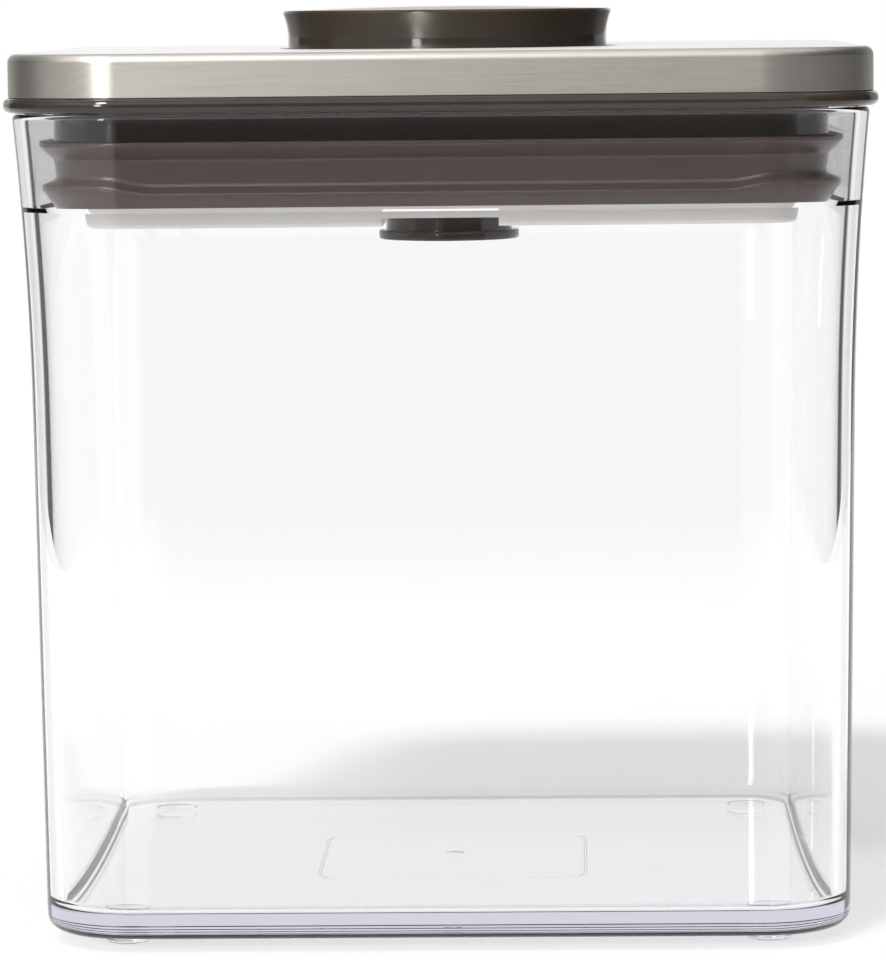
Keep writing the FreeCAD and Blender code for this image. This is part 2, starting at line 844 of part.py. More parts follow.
def make_guide_plate():
    """The well's floor, with the plunger's tube and the latch arm's bearing."""
    body = new_body("guide_plate")
    profile = [
        (tube_bore, tube_low),
        (tube_radius, tube_low),
        (tube_radius, plate_under),
        (plate_radius, plate_under),
        (plate_radius, plate_top),
        (tube_radius, plate_top),
        (tube_radius, tube_top),
        (tube_bore, tube_top),
    ]
    revolve(body, profile)
    bearing_to = arm_x + S.pivot_long - S.bearing_gap
    bearing = new_sketch(body, "Bearing", "XY_Plane", plate_under)
    oblong(bearing, bearing_from, bearing_to, -S.bearing_half, S.bearing_half)
    pad(body, bearing, plate_under - pivot_z + S.bearing_half, reverse=True)
    hole = new_sketch(body, "PivotHole", "YZ_Plane", bearing_to + S.bearing_gap)
    circle(hole, S.wire_radius + S.pivot_fit, 0, pivot_z)
    pocket(body, hole, S.pivot_long - S.wire_radius)
    diagonal = screw_ring / math.sqrt(2)
    screw_hole = new_sketch(body, "ScrewHole", "XY_Plane", plate_top + S.overrun)
    circle(screw_hole, S.screw_shank + S.screw_fit, diagonal, diagonal)
    polar(body, pocket(body, screw_hole, S.plate_thick + S.overrun * 2), SCREW_COUNT)
    return body


def make_plate_seal():
    """The flat ring pinched between the guide plate and the well's wall."""
    body = new_body("guide_plate_seal")
    ring = new_sketch(body, "Flat", "XY_Plane", plate_top)
    circle(ring, well_radius)
    circle(ring, well_outer)
    pad(body, ring, S.seal_thick)
    return body


def make_plate_screws():
    """Four pan-head screws, up through the guide plate into the lid's bosses."""
    body = new_body("guide_plate_screws")
    body.AllowCompound = True
    diagonal = screw_ring / math.sqrt(2)
    head = new_sketch(body, "Head", "XY_Plane", plate_under)
    circle(head, S.screw_head, diagonal, diagonal)
    heads = pad(body, head, S.screw_head_tall, reverse=True)
    shank = new_sketch(body, "Shank", "XY_Plane", plate_under)
    circle(shank, S.screw_shank, diagonal, diagonal)
    shanks = pad(body, shank, S.plate_thick + S.screw_reach - S.overrun)
    pattern = polar(body, heads, SCREW_COUNT)
    pattern.Originals = [heads, shanks]
    return body


def make_button_screw():
    """The screw under the steel cap that holds the plunger to the button."""
    body = new_body("button_screw")
    head_seat = cap_seat - S.screw_head_tall
    tip = button_under - S.button_screw_long + S.overrun
    profile = [
        (0, tip),
        (S.screw_shank, tip),
        (S.screw_shank, head_seat),
        (S.screw_head, head_seat),
        (S.screw_head, cap_seat),
        (0, cap_seat),
    ]
    revolve(body, profile)
    return body


def make_latch_arm():
    """The bent wire: pivot leg, hanging run and hook."""
    body = new_body("latch_arm")
    hook_x = S.plunger_radius - S.flat_deep - S.track_deep + S.track_play
    far_x = arm_x + S.pivot_long
    path = new_sketch(body, "Wire", "XZ_Plane")
    bend = S.arm_bend
    chain(path, [
        (far_x, pivot_z),
        (arm_x + bend, pivot_z),
        (arm_x, pivot_z - bend),
        (arm_x, hook_z + bend),
        (arm_x - bend, hook_z),
        (hook_x, hook_z),
    ], {1: (bend, 1), 3: (bend, -1)}, closed=False)
    section = new_sketch(body, "WireSection", "YZ_Plane", far_x)
    circle(section, S.wire_radius, 0, pivot_z)
    feature = body.newObject("PartDesign::AdditivePipe", "WireSweep")
    feature.Profile = section
    feature.Spine = (path, [f"Edge{number}" for number in range(1, 6)])
    return body


def make_knob():
    """The round knob under the spreader: a quarter turn frees it from the lugs."""
    body = new_body("lock_knob")
    top = spreader_low - S.knob_gap
    flange_top = top - S.knob_neck_tall
    flange_low = flange_top - S.knob_flange_tall
    room_low = stem_low - S.knob_play
    room_high = stem_low + S.lug_thick + S.knob_play
    room = stem_radius + S.lug_reach + S.knob_play
    dome = (S.knob_radius * S.knob_radius + S.knob_crown * S.knob_crown) / (S.knob_crown * 2)
    profile = [
        (0, flange_low - S.knob_crown),
        (S.knob_radius, flange_low),
        (S.knob_radius, flange_top),
        (knob_neck, flange_top),
        (knob_neck, top),
        (stem_radius + S.slide_fit, top),
        (stem_radius + S.slide_fit, room_high),
        (room, room_high),
        (room, room_low),
        (0, room_low),
    ]
    revolve(body, profile, {0: (dome, 1)})
    slot = new_sketch(body, "Slot", "XY_Plane", top + S.overrun)
    half_slot = S.lug_width / 2 + S.knob_play
    oblong(slot, -room, room, -half_slot, half_slot)
    pocket(body, slot, top - room_high + S.overrun)
    rims = (on_circle(S.knob_radius, flange_low), on_circle(S.knob_radius, flange_top))
    fillet(body, S.knob_round, lambda point: any(test(point) for test in rims), "KnobEdge")
    return body


def biarc(start, start_way, end, end_way):
    """Two arcs that share a tangent, from one point and direction to another."""
    chord = end - start
    both = start_way + end_way
    spread = 2 * (1 - start_way.dot(end_way))
    lean = chord.dot(both)
    reach = (math.sqrt(lean * lean + spread * chord.dot(chord)) - lean) / spread
    joint = (start + start_way * reach + end - end_way * reach) / 2
    edges = []
    for point, way, other in ((start, start_way, joint), (end, end_way, joint)):
        run = other - point
        side = run - way * run.dot(way)
        radius = run.dot(run) / (2 * side.Length)
        centre = point + side.normalize() * radius
        middle = ((point - centre) + (other - centre)).normalize() * radius + centre
        ends = (point, other) if other is joint and point is start else (other, point)
        edges.append(Part.Arc(ends[0], middle, ends[1]).toShape())
    return edges


def make_spring():
    """The return spring: one unbroken round wire with a closed turn at each end."""
    wire = S.spring_wire.value
    radius = spring_radius.value
    low = plate_top.value + S.spring_seat.value + wire
    high = button_under.value - S.spring_top_gap.value - wire
    end_rise = wire + S.spring_end_gap.value / 2
    ends = SPRING_END_HALF_TURNS
    middle_rise = (high - low - 2 * ends * end_rise) / (SPRING_HALF_TURNS - 2 * ends)
    heights = [low]
    rises = []
    for index in range(SPRING_HALF_TURNS):
        at_end = index < ends or index >= SPRING_HALF_TURNS - ends
        rises.append(end_rise if at_end else middle_rise)
        heights.append(heights[-1] + rises[-1])
    points = []
    ways = []
    for index, height in enumerate(heights):
        turn = 1 if index % 2 == 0 else -1
        near = rises[max(index - 1, 0):index + 1]
        slope = sum(near) / len(near) / math.pi
        points.append(Vector(radius * turn, 0, height))
        ways.append(Vector(0, radius * turn, slope).normalize())
    edges = []
    for index in range(SPRING_HALF_TURNS):
        edges += biarc(points[index], ways[index], points[index + 1], ways[index + 1])
    path = Part.Wire(edges)
    section = Part.Wire(Part.Circle(points[0], ways[0], wire).toShape())
    shape = path.makePipeShell([section], True, False)
    solid = Part.Solid(Part.Shell(shape.Faces)) if shape.ShapeType != "Solid" else shape

    # Least gap between the wire and its own next turn, on points along the path.
    samples = path.discretize(SPRING_HALF_TURNS * 24)
    gap = min(
        (samples[first] - samples[second]).Length
        for first in range(len(samples))
        for second in range(first + 24, len(samples))
    ) - 2 * wire
    print(f"return_spring: least gap to itself {gap:.2f} mm")
    feature = doc.addObject("Part::Feature", "return_spring")
    feature.Label = "return_spring"
    feature.Shape = solid
    feature.Placement = FreeCAD.Placement()
    return feature


pieces = [
    make_tub(),
    make_lid_body(),
    make_cover(),
    make_gasket(),
    make_guide_plate(),
    make_plate_seal(),
    make_plate_screws(),
    make_spring(),
    make_latch_arm(),
    make_button_shell(),
    make_button_cap(),
    make_button_screw(),
    make_plunger(),
    make_o_ring(),
    make_spreader(),
    make_knob(),
]
doc.recompute()

for item in doc.Objects:
    if "Invalid" in item.State or "Error" in item.State:
        raise RuntimeError(f"{item.Label}: {item.State}")
for piece in pieces:
    if piece.Shape.isNull() or not piece.Shape.isValid():
        raise RuntimeError(f"{piece.Label}: bad shape")

os.makedirs("parts", exist_ok=True)
for piece in pieces:
    piece.Shape.exportStep(f"parts/{piece.Label}.step")
    print(f"{piece.Label}: {len(piece.Shape.Solids)} solid(s), {piece.Shape.Volume / 1000:.2f} cm3")
print(f"knob and button axis at 0,0; pivot of the latch arm at x {arm_x.value:.3f}, z {pivot_z.value:.3f}")
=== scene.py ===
# %% [markdown]
# # A square food keeper with a pop-up button
# The keeper is a clear moulded tub, a lid under brushed steel, and a round button that
# swells a silicone gasket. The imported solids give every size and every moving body, so
# this lesson dresses them: smooth skins for what shows, and a finish for each surface.

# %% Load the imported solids
import bmesh
import bpy
import math
from mathutils import Matrix, Vector


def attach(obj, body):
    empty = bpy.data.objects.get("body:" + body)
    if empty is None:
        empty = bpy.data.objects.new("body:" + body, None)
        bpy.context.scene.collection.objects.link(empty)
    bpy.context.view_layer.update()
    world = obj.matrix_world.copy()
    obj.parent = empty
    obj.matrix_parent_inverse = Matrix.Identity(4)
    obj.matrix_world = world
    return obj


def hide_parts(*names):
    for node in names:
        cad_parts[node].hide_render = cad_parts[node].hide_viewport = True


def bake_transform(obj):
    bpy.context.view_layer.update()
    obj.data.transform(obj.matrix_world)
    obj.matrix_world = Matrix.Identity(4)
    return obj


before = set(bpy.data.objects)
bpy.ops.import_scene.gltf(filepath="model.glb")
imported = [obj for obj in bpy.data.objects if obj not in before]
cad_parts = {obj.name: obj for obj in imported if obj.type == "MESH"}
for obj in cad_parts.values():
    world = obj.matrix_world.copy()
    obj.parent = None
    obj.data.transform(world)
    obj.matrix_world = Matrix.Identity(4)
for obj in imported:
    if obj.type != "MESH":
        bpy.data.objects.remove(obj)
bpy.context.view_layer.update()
MM = 0.001
print("solids:", sorted(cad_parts))

# %% [markdown]
# ## Helpers for node trees
# Geometry Nodes and shaders are both trees of nodes with links. Two small helpers keep the
# later cells short: one adds a node and sets what it is given, one draws the links.


# %% Node helpers
def add(tree, kind, inputs=None, **settings):
    node = tree.nodes.new(kind)
    for name, value in settings.items():
        setattr(node, name, value)
    for name, value in (inputs or {}).items():
        node.inputs[name].default_value = value
    return node


def link(tree, *pairs):
    for source, target in pairs:
        tree.links.new(source, target)


def new_tree(name, **sockets):
    """An empty Geometry Nodes tree with named inputs; returns it with its two end nodes."""
    tree = bpy.data.node_groups.new(name, "GeometryNodeTree")
    for label, kind in sockets.items():
        tree.interface.new_socket(label, in_out="INPUT", socket_type=f"NodeSocket{kind}")
    tree.interface.new_socket("Geometry", in_out="OUTPUT", socket_type="NodeSocketGeometry")
    return tree, add(tree, "NodeGroupInput"), add(tree, "NodeGroupOutput")


# %% [markdown]
# ## A section swept round a path
# The tub, the steel cover and the gasket are all one section carried round a square with
# rounded corners, and the button is one section turned round a circle. A Geometry Nodes
# tree fits that rule well: path curve, section curve, Curve to Mesh. All the square rings
# share the same four corner centres, so the section stays upright in the corners too.


# %% Two sweep trees
def end_tree(tree, start, end, mesh_socket):
    """Every tree ends the same way: real geometry, then its material."""
    real = add(tree, "GeometryNodeRealizeInstances")
    paint = add(tree, "GeometryNodeSetMaterial")
    link(
        tree,
        (mesh_socket, real.inputs["Geometry"]),
        (real.outputs["Geometry"], paint.inputs["Geometry"]),
        (start.outputs["Material"], paint.inputs["Material"]),
        (paint.outputs["Geometry"], end.inputs["Geometry"]),
    )


def square_sweep_tree():
    tree, start, end = new_tree(
        "square_sweep", Half="Float", Corner="Float", Steps="Int", Section="Object",
        Material="Material",
    )
    side = add(tree, "ShaderNodeMath", {1: 2.0}, operation="MULTIPLY")
    square = add(tree, "GeometryNodeCurvePrimitiveQuadrilateral")
    rounding = add(tree, "GeometryNodeFilletCurve", mode="POLY")
    section = add(tree, "GeometryNodeObjectInfo")
    sweep = add(tree, "GeometryNodeCurveToMesh")
    link(
        tree,
        (start.outputs["Half"], side.inputs[0]),
        (side.outputs[0], square.inputs["Width"]),
        (side.outputs[0], square.inputs["Height"]),
        (square.outputs["Curve"], rounding.inputs["Curve"]),
        (start.outputs["Corner"], rounding.inputs["Radius"]),
        (start.outputs["Steps"], rounding.inputs["Count"]),
        (rounding.outputs["Curve"], sweep.inputs["Curve"]),
        (start.outputs["Section"], section.inputs["Object"]),
        (section.outputs["Geometry"], sweep.inputs["Profile Curve"]),
    )
    end_tree(tree, start, end, sweep.outputs["Mesh"])
    return tree


def turning_tree():
    tree, start, end = new_tree(
        "turning", Radius="Float", Steps="Int", Section="Object", Material="Material"
    )
    ring = add(tree, "GeometryNodeCurvePrimitiveCircle", mode="RADIUS")
    section = add(tree, "GeometryNodeObjectInfo")
    sweep = add(tree, "GeometryNodeCurveToMesh")
    link(
        tree,
        (start.outputs["Radius"], ring.inputs["Radius"]),
        (start.outputs["Steps"], ring.inputs["Resolution"]),
        (ring.outputs["Curve"], sweep.inputs["Curve"]),
        (start.outputs["Section"], section.inputs["Object"]),
        (section.outputs["Geometry"], sweep.inputs["Profile Curve"]),
    )
    end_tree(tree, start, end, sweep.outputs["Mesh"])
    return tree


SQUARE_SWEEP = square_sweep_tree()
TURNING = turning_tree()
print("trees:", [tree.name for tree in bpy.data.node_groups])

# %% [markdown]
# ## Running a tree
# A tree is run by a Nodes modifier on an empty mesh. Its inputs are set by each socket's
# identifier before the first evaluation. The result is then copied into a plain mesh, so that the
# pieces that ride on the moving bodies are meshes without modifiers.


# %% From tree to plain mesh
def plain_mesh(piece):
    """Swaps a piece's mesh for what its modifiers make of it, and drops the modifiers."""
    graph = bpy.context.evaluated_depsgraph_get()
    mesh = bpy.data.meshes.new_from_object(piece.evaluated_get(graph), depsgraph=graph)
    piece.modifiers.clear()
    piece.data = mesh
    mesh.name = piece.name
    return piece


def run_tree(name, tree, **values):
    piece = bpy.data.objects.new(name, bpy.data.meshes.new(name))
    bpy.context.collection.objects.link(piece)
    modifier = piece.modifiers.new("made", "NODES")
    modifier.node_group = tree
    for socket in tree.interface.items_tree:
        if socket.in_out == "INPUT":
            modifier[socket.identifier] = values[socket.name]
    return plain_mesh(piece)


def curve_through(points, closed):
    """A bare polyline of (x, y, z) points as a curve object."""
    curve = bpy.data.curves.new("section", "CURVE")
    curve.dimensions = "3D"
    line = curve.splines.new("POLY")
    line.points.add(len(points) - 1)
    for target, point in zip(line.points, points):
        target.co = (*point, 1)
    line.use_cyclic_u = closed
    shape = bpy.data.objects.new("section", curve)
    bpy.context.collection.objects.link(shape)
    return shape


CORNER_REACH = 58 * MM
CORNER_STEPS = 24
TURN_STEPS = 128


def swept(name, section, path_half, material, closed=False):
    """Carries a section of (half width, height) points round a rounded square."""
    line = curve_through([(half - path_half, -height, 0) for half, height in section], closed)
    piece = run_tree(
        name, SQUARE_SWEEP, Half=path_half, Corner=path_half - CORNER_REACH,
        Steps=CORNER_STEPS, Section=line, Material=material,
    )
    bpy.data.objects.remove(line)
    return piece


def turned(name, section, material, closed=False):
    """Turns a section of (radius, height) points round the upright axis."""
    radius = max(point[0] for point in section)
    line = curve_through([(reach - radius, -height, 0) for reach, height in section], closed)
    piece = run_tree(
        name, TURNING, Radius=radius, Steps=TURN_STEPS, Section=line, Material=material
    )
    bpy.data.objects.remove(line)
    return piece


# %% [markdown]
# ## Sections with rounded corners
# Moulded and pressed pieces have no sharp edges, and it is the small round edges that catch
# the light. A section is written as a list of corners, each with its own rounding, in
# millimetres; the helper below puts a short arc at each corner and returns metres.


# %% Rounding a section
ARC_STEPS = 6


def rounded(corners, closed=False):
    """Points in metres along (half, height, round) corners given in millimetres."""
    points = []
    count = len(corners)
    for index, (across, up, radius) in enumerate(corners):
        here = Vector((across, up))
        at_end = not closed and index in (0, count - 1)
        if at_end or not radius:
            points.append(here * MM)
            continue
        before = (Vector(corners[index - 1][:2]) - here).normalized()
        after = (Vector(corners[(index + 1) % count][:2]) - here).normalized()
        half_angle = before.angle(after) / 2
        middle = here + (before + after).normalized() * (radius / math.sin(half_angle))
        first = here + before * (radius / math.tan(half_angle)) - middle
        last = here + after * (radius / math.tan(half_angle)) - middle
        for step in range(ARC_STEPS + 1):
            way = first.slerp(last, step / ARC_STEPS) * radius
            points.append((middle + way) * MM)
    return [tuple(point) for point in points]


# %% [markdown]
# ## Closing and smoothing a skin
# A swept skin is open where its section ends. The open rims are filled flat, doubles are
# merged, and faces are turned outwards. Smooth shading alone would bend the light on the
# long flats next to a small rounding, so edges sharper than a limit are kept sharp and the
# normals are weighted by face area, which leaves the flats truly flat.


# %% Skin helpers
MERGE, LEVEL_SLACK = 0.001 * MM, 0.01 * MM
SHARP_ANGLE = math.radians(38)


def ring_edges(bm, height):
    """The open edges of a skin at one height."""
    return [
        edge for edge in bm.edges
        if edge.is_boundary and all(abs(v.co.z - height) < LEVEL_SLACK for v in edge.verts)
    ]


def loop_of(bm, points):
    """New vertices and edges in a closed loop."""
    corners = [bm.verts.new(point) for point in points]
    return [bm.edges.new((corners[i - 1], corners[i])) for i in range(len(corners))]


def wall_between(bm, low, high):
    """Quads between two loops that were made with the same number of points."""
    for first, second in zip(low, high):
        bm.faces.new((first.verts[0], first.verts[1], second.verts[1], second.verts[0]))


def fill(bm, *loops):
    """Fills the flat region between the loops, the first one outside the others."""
    edges = [edge for loop in loops for edge in loop]
    bmesh.ops.triangle_fill(bm, use_beauty=True, edges=edges)


def circle_points(x, y, radius, height, steps):
    turns = [2 * math.pi * step / steps for step in range(steps)]
    return [(x + radius * math.cos(t), y + radius * math.sin(t), height) for t in turns]


def smooth_skin(piece, recalculate=True):
    """Merges doubles, turns faces out, and gives the piece area-weighted smooth normals."""
    bm = bmesh.new()
    bm.from_mesh(piece.data)
    bmesh.ops.remove_doubles(bm, verts=bm.verts, dist=MERGE)
    if recalculate:
        bmesh.ops.recalc_face_normals(bm, faces=bm.faces)
    for face in bm.faces:
        face.smooth = True
    for edge in bm.edges:
        edge.smooth = edge.calc_face_angle(0) < SHARP_ANGLE
    open_edges = sum(not edge.is_manifold for edge in bm.edges)
    bm.to_mesh(piece.data)
    volume = bm.calc_volume(signed=True) * 1e6
    bm.free()
    weight = piece.modifiers.new("weighted", "WEIGHTED_NORMAL")
    weight.keep_sharp = True
    plain_mesh(piece)
    faces = len(piece.data.polygons)
    print(f"{piece.name}: {faces} faces, {open_edges} open edges, {volume:.2f} cm3")
    return piece


def dress(piece, body, slot, *nodes):
    """Rides the piece on its body in place of the solids it stands for."""
    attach(piece, body)
    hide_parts(*nodes)
    return piece


# %% [markdown]
# ## Finishes
# Every finish is a Principled shader with a little of the real surface's unevenness: noise
# stretched or grained at the real scale, feeding colour, roughness and a slight bump.


# %% Material helpers
NOISE_LOW, NOISE_HIGH = 0.3, 0.7


def new_finish(name, base, roughness, **inputs):
    """A material with a Principled shader; returns the tree, the shader and the material."""
    material = bpy.data.materials.new(name)
    material.use_nodes = True
    tree = material.node_tree
    shader = tree.nodes["Principled BSDF"]
    shader.inputs["Base Color"].default_value = (*base, 1)
    shader.inputs["Roughness"].default_value = roughness
    for label, value in inputs.items():
        shader.inputs[label.replace("_", " ")].default_value = value
    return tree, shader, material


def grain(tree, scale, detail=3.0, uv=None):
    """Noise at a scale per metre along each axis, on object coordinates or a UV map."""
    if uv:
        place = add(tree, "ShaderNodeUVMap", uv_map=uv).outputs["UV"]
    else:
        place = add(tree, "ShaderNodeTexCoord").outputs["Object"]
    stretch = add(tree, "ShaderNodeMapping", {"Scale": scale})
    noise = add(tree, "ShaderNodeTexNoise", {"Scale": 1.0, "Detail": detail, "Roughness": 0.6})
    link(
        tree,
        (place, stretch.inputs["Vector"]),
        (stretch.outputs["Vector"], noise.inputs["Vector"]),
    )
    return noise.outputs["Fac"]


def spread(tree, value, low, high):
    """Maps noise, which stays near its middle, onto a range."""
    node = add(
        tree, "ShaderNodeMapRange",
        {"From Min": NOISE_LOW, "From Max": NOISE_HIGH, "To Min": low, "To Max": high},
    )
    link(tree, (value, node.inputs["Value"]))
    return node.outputs["Result"]


def shade(tree, value, dark, light):
    """Mixes two colours by noise."""
    node = add(tree, "ShaderNodeMix", data_type="RGBA")
    node.inputs["A"].default_value = (*dark, 1)
    node.inputs["B"].default_value = (*light, 1)
    link(tree, (spread(tree, value, 0, 1), node.inputs["Factor"]))
    return node.outputs["Result"]


def bump(tree, value, shader, depth, strength):
    node = add(tree, "ShaderNodeBump", {"Strength": strength, "Distance": depth})
    link(tree, (value, node.inputs["Height"]), (node.outputs["Normal"], shader.inputs["Normal"]))


# %% [markdown]
# ## Clear plastic
# The tub is a clear, glossy moulding with a trace of violet, which only shows where one
# looks along a wall or through the edge of the thick floor. So the tint is an absorption
# inside the body and not a colour on its surface. Lamps have to reach what is inside, so
# shadow and diffuse rays pass straight through, dimmed as the two faces of a wall dim them.

# %% Clear plastic finish
tree, shader, clear_plastic = new_finish(
    "clear_plastic", (0.998, 0.998, 1.0), 0.0, IOR=1.5, Transmission_Weight=1.0
)
haze = grain(tree, (60, 60, 25), detail=2.0)
link(tree, (spread(tree, haze, 0.005, 0.012), shader.inputs["Roughness"]))
path = add(tree, "ShaderNodeLightPath")
lamp_pass = add(tree, "ShaderNodeBsdfTransparent", {"Color": (0.80, 0.80, 0.81, 1)})
fill_pass = add(tree, "ShaderNodeBsdfTransparent", {"Color": (0.95, 0.95, 0.96, 1)})
for_fill = add(tree, "ShaderNodeMixShader")
for_lamps = add(tree, "ShaderNodeMixShader")
tint = add(tree, "ShaderNodeVolumeAbsorption", {"Color": (0.50, 0.46, 0.66, 1), "Density": 5.0})
output = tree.nodes["Material Output"]
link(
    tree,
    (path.outputs["Is Diffuse Ray"], for_fill.inputs["Fac"]),
    (shader.outputs["BSDF"], for_fill.inputs[1]),
    (fill_pass.outputs["BSDF"], for_fill.inputs[2]),
    (path.outputs["Is Shadow Ray"], for_lamps.inputs["Fac"]),
    (for_fill.outputs["Shader"], for_lamps.inputs[1]),
    (lamp_pass.outputs["BSDF"], for_lamps.inputs[2]),
    (for_lamps.outputs["Shader"], output.inputs["Surface"]),
    (tint.outputs["Volume"], output.inputs["Volume"]),
)
print("finish:", clear_plastic.name)

# %% [markdown]
# ## The tub's wall
# The outside leans out slightly up to two thirds of its height and then flares to the rim.
# The inside runs parallel to it, with a small ledge at the fill line above which the wall
# is thinner. The ledge slopes steeply, so it bends light from below forwards and shows as a
# white line; a flatter one would mirror the dark lid. The wall is one section, from under the
# floor round the rim to the inner floor.

# %% Tub section
FOOT_TALL, FLOOR_TOP, TUB_TALL = 2.4, 7.0, 154.0
BASE_HALF, FLARE_HALF, RIM_HALF, FLARE_FROM = 74.8, 76.0, 78.9, 100.0
WALL_LOWER, WALL_UPPER, FILL_LINE, LEDGE_TOP = 3.1, 2.8, 136.2, 137.1
BASE_ROUND, FLOOR_ROUND, RIM_ROUND, LEDGE_ROUND = 3.2, 2.0, 0.9, 0.06
FLAT_SPARE, RIM_SPARE, FLARE_SPARE, OVER_LEDGE, UNDER_LEDGE = 0.5, 2, 4, 0.3, 0.8
FLARE_STEPS, TUB_PATH = 14, 70


def outer_half(height):
    """Half width of the tub's outside at a height, all in millimetres."""
    lean = (FLARE_HALF - BASE_HALF) / (FLARE_FROM - FOOT_TALL)
    up = height - FLARE_FROM
    flare_tall = TUB_TALL - FLARE_FROM
    bend = (RIM_HALF - FLARE_HALF - lean * flare_tall) / flare_tall ** 2
    return FLARE_HALF + lean * up + bend * max(up, 0) ** 2


def run_up(low, high, inset):
    """Plain section corners up the wall, set in from its outside."""
    heights = [low + (high - low) * step / FLARE_STEPS for step in range(FLARE_STEPS + 1)]
    return [(outer_half(height) - inset, height, 0) for height in heights]


bottom_edge = BASE_HALF - BASE_ROUND - FLAT_SPARE
floor_edge = outer_half(FLOOR_TOP) - WALL_LOWER - FLOOR_ROUND - FLAT_SPARE
tub_section = rounded(
    [(bottom_edge, FOOT_TALL, 0), (BASE_HALF, FOOT_TALL, BASE_ROUND), (FLARE_HALF, FLARE_FROM, 0)]
    + run_up(FLARE_FROM + FLARE_SPARE, TUB_TALL - RIM_SPARE, 0)
    + [(RIM_HALF, TUB_TALL, RIM_ROUND), (RIM_HALF - WALL_UPPER, TUB_TALL, RIM_ROUND)]
    + run_up(LEDGE_TOP + OVER_LEDGE, TUB_TALL - RIM_SPARE, WALL_UPPER)[::-1]
    + [(outer_half(LEDGE_TOP) - WALL_UPPER, LEDGE_TOP, LEDGE_ROUND)]
    + [(outer_half(FILL_LINE) - WALL_LOWER, FILL_LINE, LEDGE_ROUND)]
    + run_up(FLARE_FROM, FILL_LINE - UNDER_LEDGE, WALL_LOWER)[::-1]
    + [(outer_half(FLOOR_TOP) - WALL_LOWER, FLOOR_TOP, FLOOR_ROUND), (floor_edge, FLOOR_TOP, 0)]
)
tub = swept("tub", tub_section, TUB_PATH * MM, clear_plastic)
print("tub section:", len(tub_section), "points")

# %% [markdown]
# ## The tub's floor and feet
# The inner floor is plain. Underneath stand four short feet, and a raised frame and the
# dimple of the moulding gate show through the floor as thin lines. They are loops of
# vertices joined by narrow walls, with the flat regions between them filled at the end, so
# that the whole tub stays one closed skin and light meets no faces inside the plastic.

# %% Floor, feet and frame
FOOT_PLACE, FOOT_RADIUS, FOOT_ROUND, FOOT_STEPS = 59.7, 4.3, 0.7, 40
FRAME_LEFT, FRAME_FRONT, FRAME_BACK = -26.0, -28.0, 21.5
FRAME_CORNER, FRAME_LINE, FRAME_TALL, FRAME_SLOPE, FRAME_STEPS = 4.5, 0.6, 0.25, 0.12, 8
GATE_RADIUS, GATE_DEEP = 1.8, 0.5


def frame_points(inset, height):
    """A rounded oblong under the floor, set in from the frame's outside."""
    corner = FRAME_CORNER - inset
    right = -FRAME_LEFT - FRAME_CORNER
    back, front = FRAME_BACK - FRAME_CORNER, FRAME_FRONT + FRAME_CORNER
    centres = [(right, back), (-right, back), (-right, front), (right, front)]
    points = []
    for quarter, (x, y) in enumerate(centres):
        for step in range(FRAME_STEPS + 1):
            turn = math.pi / 2 * (quarter + step / FRAME_STEPS)
            points.append((x + corner * math.cos(turn), y + corner * math.sin(turn), height))
    return [tuple(number * MM for number in point) for point in points]


def stacked(bm, rings):
    """Loops one after another with walls between them; returns the first and last."""
    loops = [loop_of(bm, ring) for ring in rings]
    for low, high in zip(loops, loops[1:]):
        wall_between(bm, low, high)
    return loops[0], loops[-1]


bm = bmesh.new()
bm.from_mesh(tub.data)
bmesh.ops.remove_doubles(bm, verts=bm.verts, dist=MERGE)
fill(bm, ring_edges(bm, FLOOR_TOP * MM))
holes = []
foot_section = rounded([(FOOT_RADIUS, FOOT_TALL, 0), (FOOT_RADIUS, 0, FOOT_ROUND), (0, 0, 0)])[:-1]
for x in (-FOOT_PLACE * MM, FOOT_PLACE * MM):
    for y in (-FOOT_PLACE * MM, FOOT_PLACE * MM):
        rings = [circle_points(x, y, reach, up, FOOT_STEPS) for reach, up in foot_section]
        top, sole = stacked(bm, rings)
        fill(bm, sole)
        holes.append(top)
under = FOOT_TALL - FRAME_TALL
ridge = [(0, FOOT_TALL), (FRAME_SLOPE, under)]
ridge += [(FRAME_LINE - FRAME_SLOPE, under), (FRAME_LINE, FOOT_TALL)]
frame_out, frame_in = stacked(bm, [frame_points(inset, height) for inset, height in ridge])
gate = [(GATE_RADIUS, FOOT_TALL), (GATE_RADIUS * 0.8, FOOT_TALL + GATE_DEEP * 0.8),
        (GATE_RADIUS * 0.4, FOOT_TALL + GATE_DEEP)]
rings = [circle_points(0, 0, reach * MM, up * MM, FOOT_STEPS) for reach, up in gate]
gate_rim, gate_top = stacked(bm, rings)
fill(bm, gate_top)
fill(bm, frame_in, gate_rim)
fill(bm, ring_edges(bm, FOOT_TALL * MM))
bm.to_mesh(tub.data)
bm.free()
dress(smooth_skin(tub), "container", "clear_plastic", "container")
print("tub box:", [round(side / MM, 1) for side in tub.dimensions])
